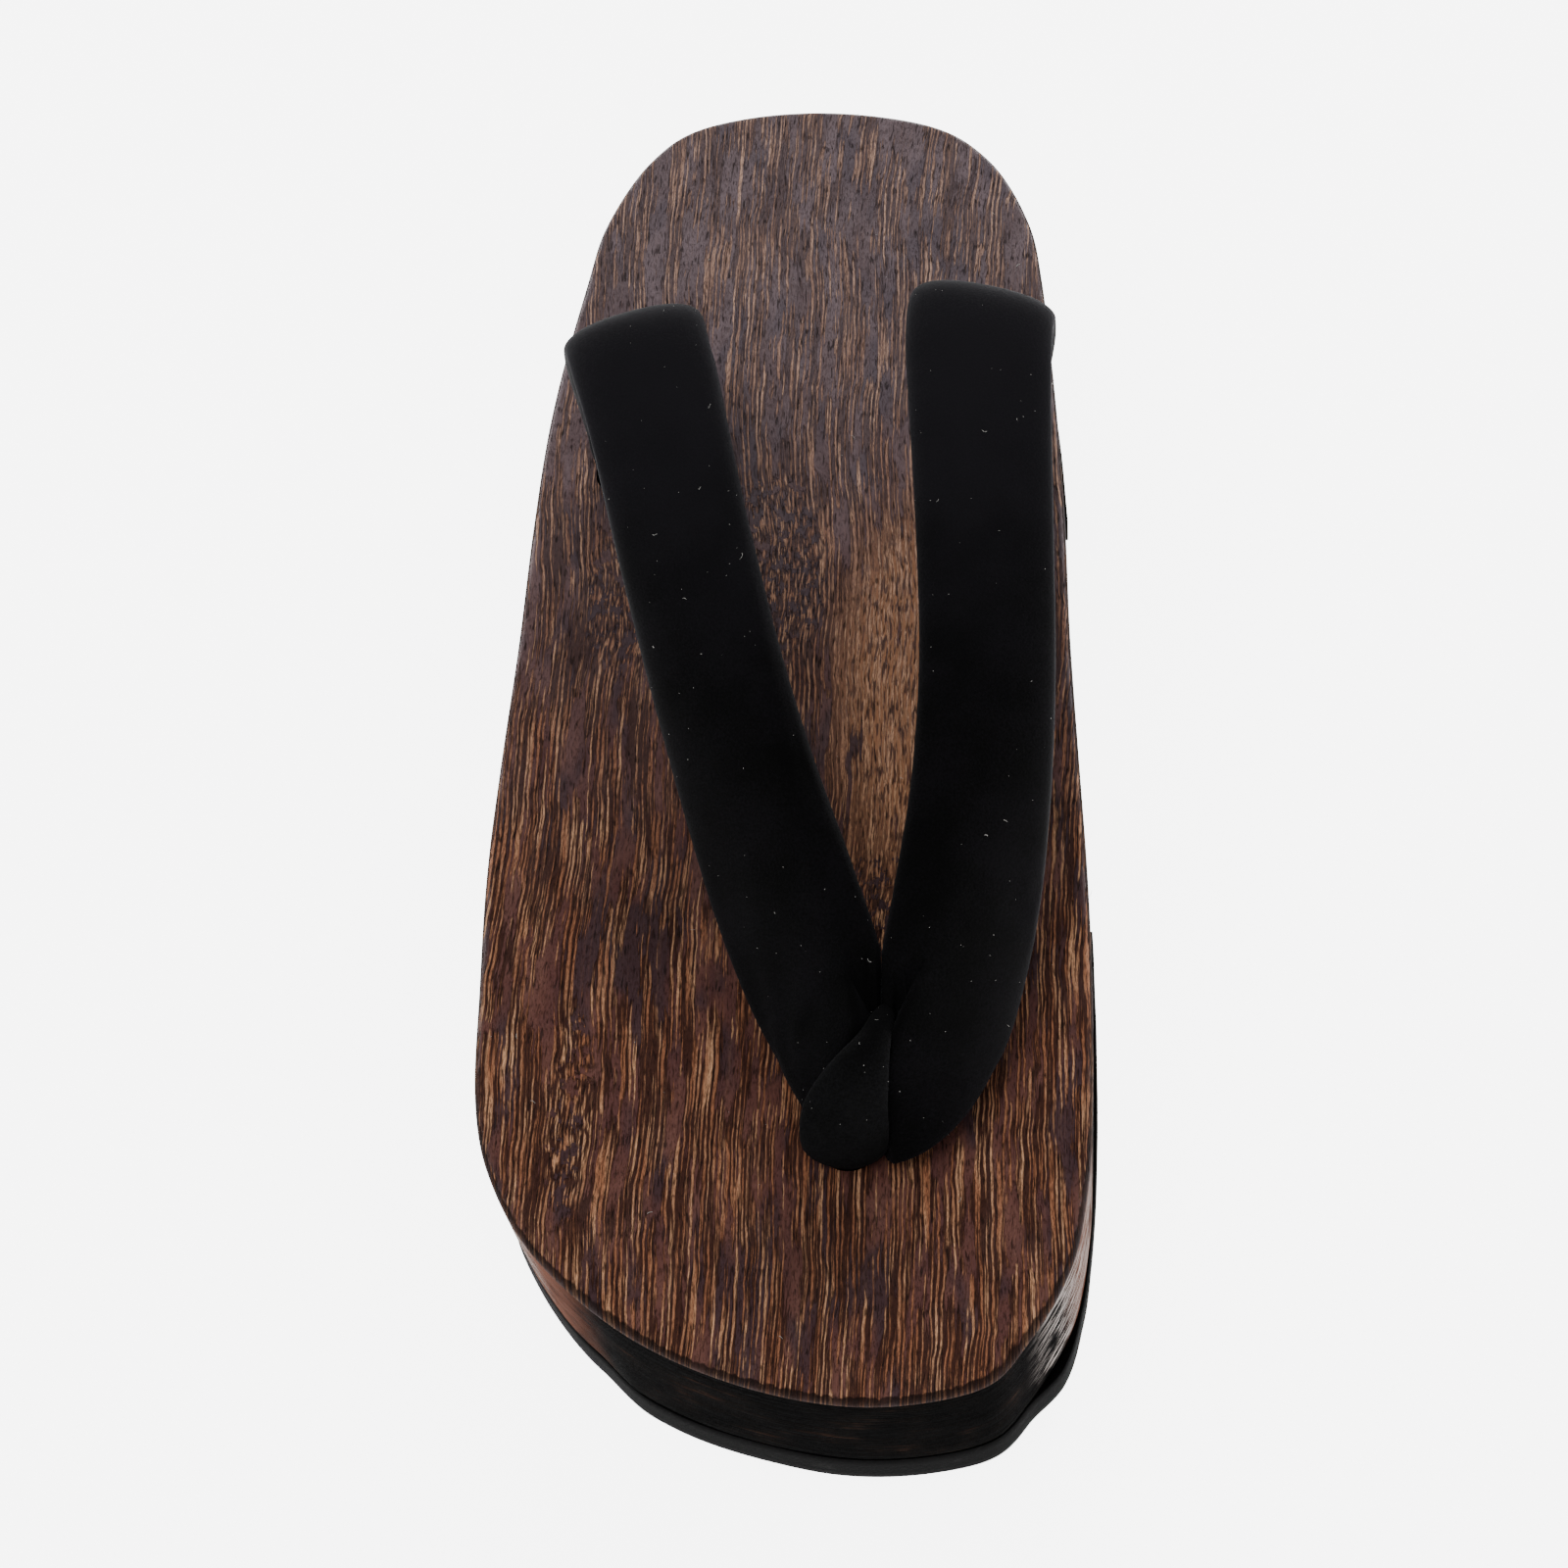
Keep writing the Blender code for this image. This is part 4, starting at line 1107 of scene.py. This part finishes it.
def makeStitchTree(material):
    # stitches set end to end along a curve
    tree, given = newTree("runningStitch", {"Stitch": "Float", "Gap": "Float",
                                            "Thread Radius": "Float"})
    every = addNode(tree, "ShaderNodeMath", (given["Stitch"], given["Gap"]), operation="ADD")
    spots = addNode(tree, "GeometryNodeCurveToPoints", {"Curve": given["Geometry"],
                                                        "Length": every}, mode="LENGTH")
    rod = addNode(tree, "GeometryNodeMeshUVSphere", {"Segments": 8, "Rings": 6,
                                                     "Radius": given["Thread Radius"]})
    half = addNode(tree, "ShaderNodeMath", (given["Stitch"], 2), operation="DIVIDE")
    long = addNode(tree, "ShaderNodeMath", (half, given["Thread Radius"]), operation="DIVIDE")
    size = addNode(tree, "ShaderNodeCombineXYZ", (1.0, 1.0, long))
    placed = addNode(tree, "GeometryNodeInstanceOnPoints", {
        "Points": spots, "Instance": rod, "Rotation": spots.outputs["Rotation"], "Scale": size})
    endTree(tree, placed, material)
    return tree


def undersideRun(table, hole):
    # along the middle of the underside of an arm, clear of its fold and its tail
    rows = armRows(table, hole)
    start, end = trim["seamEnds"]
    first, last = start * strap["steps"], (len(table) - end) * strap["steps"]
    return [middle + up * (row[4] / 2 + 0.3 * trim["thread"])
            for row, (middle, _, _, up) in list(zip(rows, bandFrames(rows)))[first:last]]


stitchTree = makeStitchTree(makeCottonTwist("blackCottonThread", trim["threadColour"],
                                            trim["cordPale"], trim["threadTips"]))
seam = runTree(pathObject("strapSeam", [undersideRun(outerRows, "outer"),
                                        undersideRun(innerRows, "inner")]),
               stitchTree, {"Stitch": trim["stitch"], "Gap": trim["stitchGap"],
                            "Thread Radius": trim["thread"]})
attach(seam, "root")
print("seams stitched")


def makeLintTree(material):
    # specks and short bent fibres scattered on the faces that look up
    tree, given = newTree("scatteredLint", {
        "Specks": "Float", "Speck Size": "Float", "Fibres": "Float", "Fibre Reach": "Float",
        "Fibre Radius": "Float", "Seed": "Int"})
    normal = addNode(tree, "ShaderNodeSeparateXYZ", (addNode(tree, "GeometryNodeInputNormal"),))
    upward = addNode(tree, "FunctionNodeCompare", (normal.outputs["Z"], trim["lintUpward"]),
                     data_type="FLOAT", operation="GREATER_THAN")
    speck = addNode(tree, "GeometryNodeMeshIcoSphere", {"Radius": given["Speck Size"],
                                                        "Subdivisions": 1})
    arc = addNode(tree, "GeometryNodeCurveArc", {"Resolution": 7, "Radius": given["Fibre Reach"],
                                                 "Sweep Angle": 1.5})
    thread = addNode(tree, "GeometryNodeCurvePrimitiveCircle", {"Resolution": 5,
                                                                "Radius": given["Fibre Radius"]})
    fibre = addNode(tree, "GeometryNodeCurveToMesh", {"Curve": arc, "Profile Curve": thread,
                                                      "Fill Caps": True})
    joined = addNode(tree, "GeometryNodeJoinGeometry")
    for shift, (density, part, most) in enumerate((("Specks", speck, 1.15),
                                                   ("Fibres", fibre, 1.2))):
        seed = addNode(tree, "ShaderNodeMath", (given["Seed"], shift * 7), operation="ADD")
        spots = addNode(tree, "GeometryNodeDistributePointsOnFaces", {
            "Mesh": given["Geometry"], "Selection": upward, "Density": given[density],
            "Seed": seed})
        spin = addNode(tree, "FunctionNodeRandomValue", {
            "Min": (0, 0, 0), "Max": (0.5, 0.5, 2 * math.pi), "Seed": 3 + shift},
            data_type="FLOAT_VECTOR")
        turned = addNode(tree, "FunctionNodeRotateRotation", {
            "Rotation": spots.outputs["Rotation"], "Rotate By": spin}, rotation_space="LOCAL")
        size = addNode(tree, "FunctionNodeRandomValue", {
            "Min": (0.35,) * 3, "Max": (most,) * 3, "Seed": 5 + shift}, data_type="FLOAT_VECTOR")
        placed = addNode(tree, "GeometryNodeInstanceOnPoints", {
            "Points": spots, "Instance": part, "Rotation": turned, "Scale": size})
        fillIn(tree, joined, {"Geometry": placed})
    endTree(tree, joined, material)
    return tree


lintMaterial, tree, shader = newMaterial("whiteCottonLint")
# cotton lint: white, matt and thin, so that it greys a little
fillIn(tree, shader, {"Base Color": trim["lintColour"], "Roughness": 0.9,
                      "Specular IOR Level": 0.1})
lintTree = makeLintTree(lintMaterial)
for name, source, specks, fibres, seed in (
        ("strapLint", thong, trim["specks"], trim["fibres"], 4),
        ("loopLint", loopPiece, trim["specks"] * 3, trim["fibres"] * 2, 9),
        ("woodLint", blockPiece, trim["specks"] * 0.12, trim["woodFibres"], 2)):
    carrier = bpy.data.objects.new(name, source.data.copy())
    bpy.context.scene.collection.objects.link(carrier)
    lint = runTree(carrier, lintTree, {
        "Specks": specks, "Speck Size": trim["speckSize"], "Fibres": fibres,
        "Fibre Reach": trim["fibreReach"], "Fibre Radius": trim["fibreThick"], "Seed": seed})
    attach(lint, "root")
    print("lint on", source.name, len(lint.data.polygons), "faces")


studio = {
    "floor": 3.0, "floorShade": 0.85, "floorGlow": 6.0, "sky": 0.35,
    "looksAt": (0, 0, 0.03),
    # place, width and depth, and power
    "overheadSoftbox": ((-0.35, -0.2, 1.35), (0.9, 0.9), 10.0),
    "backSoftbox": ((0.2, 1.2, 1.0), (1.2, 0.8), 17.0),
    "frontFill": ((0.5, -1.2, 0.9), (0.9, 0.7), 2.5),
}

floorMaterial, tree, shader = newMaterial("paleFloor")
fillIn(tree, shader, {
    "Base Color": (*[studio["floorShade"]] * 3, 1), "Roughness": 0.9, "Specular IOR Level": 0.1,
    "Emission Color": (1, 1, 1, 1), "Emission Strength": studio["floorGlow"]})
bm = bmesh.new()
bmesh.ops.create_grid(bm, x_segments=1, y_segments=1, size=studio["floor"])
floor = finishObject(bm, "paleFloor", floorMaterial)

world = bpy.data.worlds.new("softStudio")
bpy.context.scene.world = world
world.use_nodes = True
fillIn(world.node_tree, world.node_tree.nodes["Background"], {
    "Color": (1, 1, 1, 1), "Strength": studio["sky"]})

for name in ("overheadSoftbox", "backSoftbox", "frontFill"):
    place, size, power = studio[name]
    data = bpy.data.lights.new(name, "AREA")
    data.shape = "RECTANGLE"
    data.size, data.size_y = size
    data.energy = power
    lamp = bpy.data.objects.new(name, data)
    lamp.location = place
    away = Vector(studio["looksAt"]) - Vector(place)
    lamp.rotation_euler = away.to_track_quat("-Z", "Y").to_euler()
    bpy.context.scene.collection.objects.link(lamp)
print("stage and lights made")
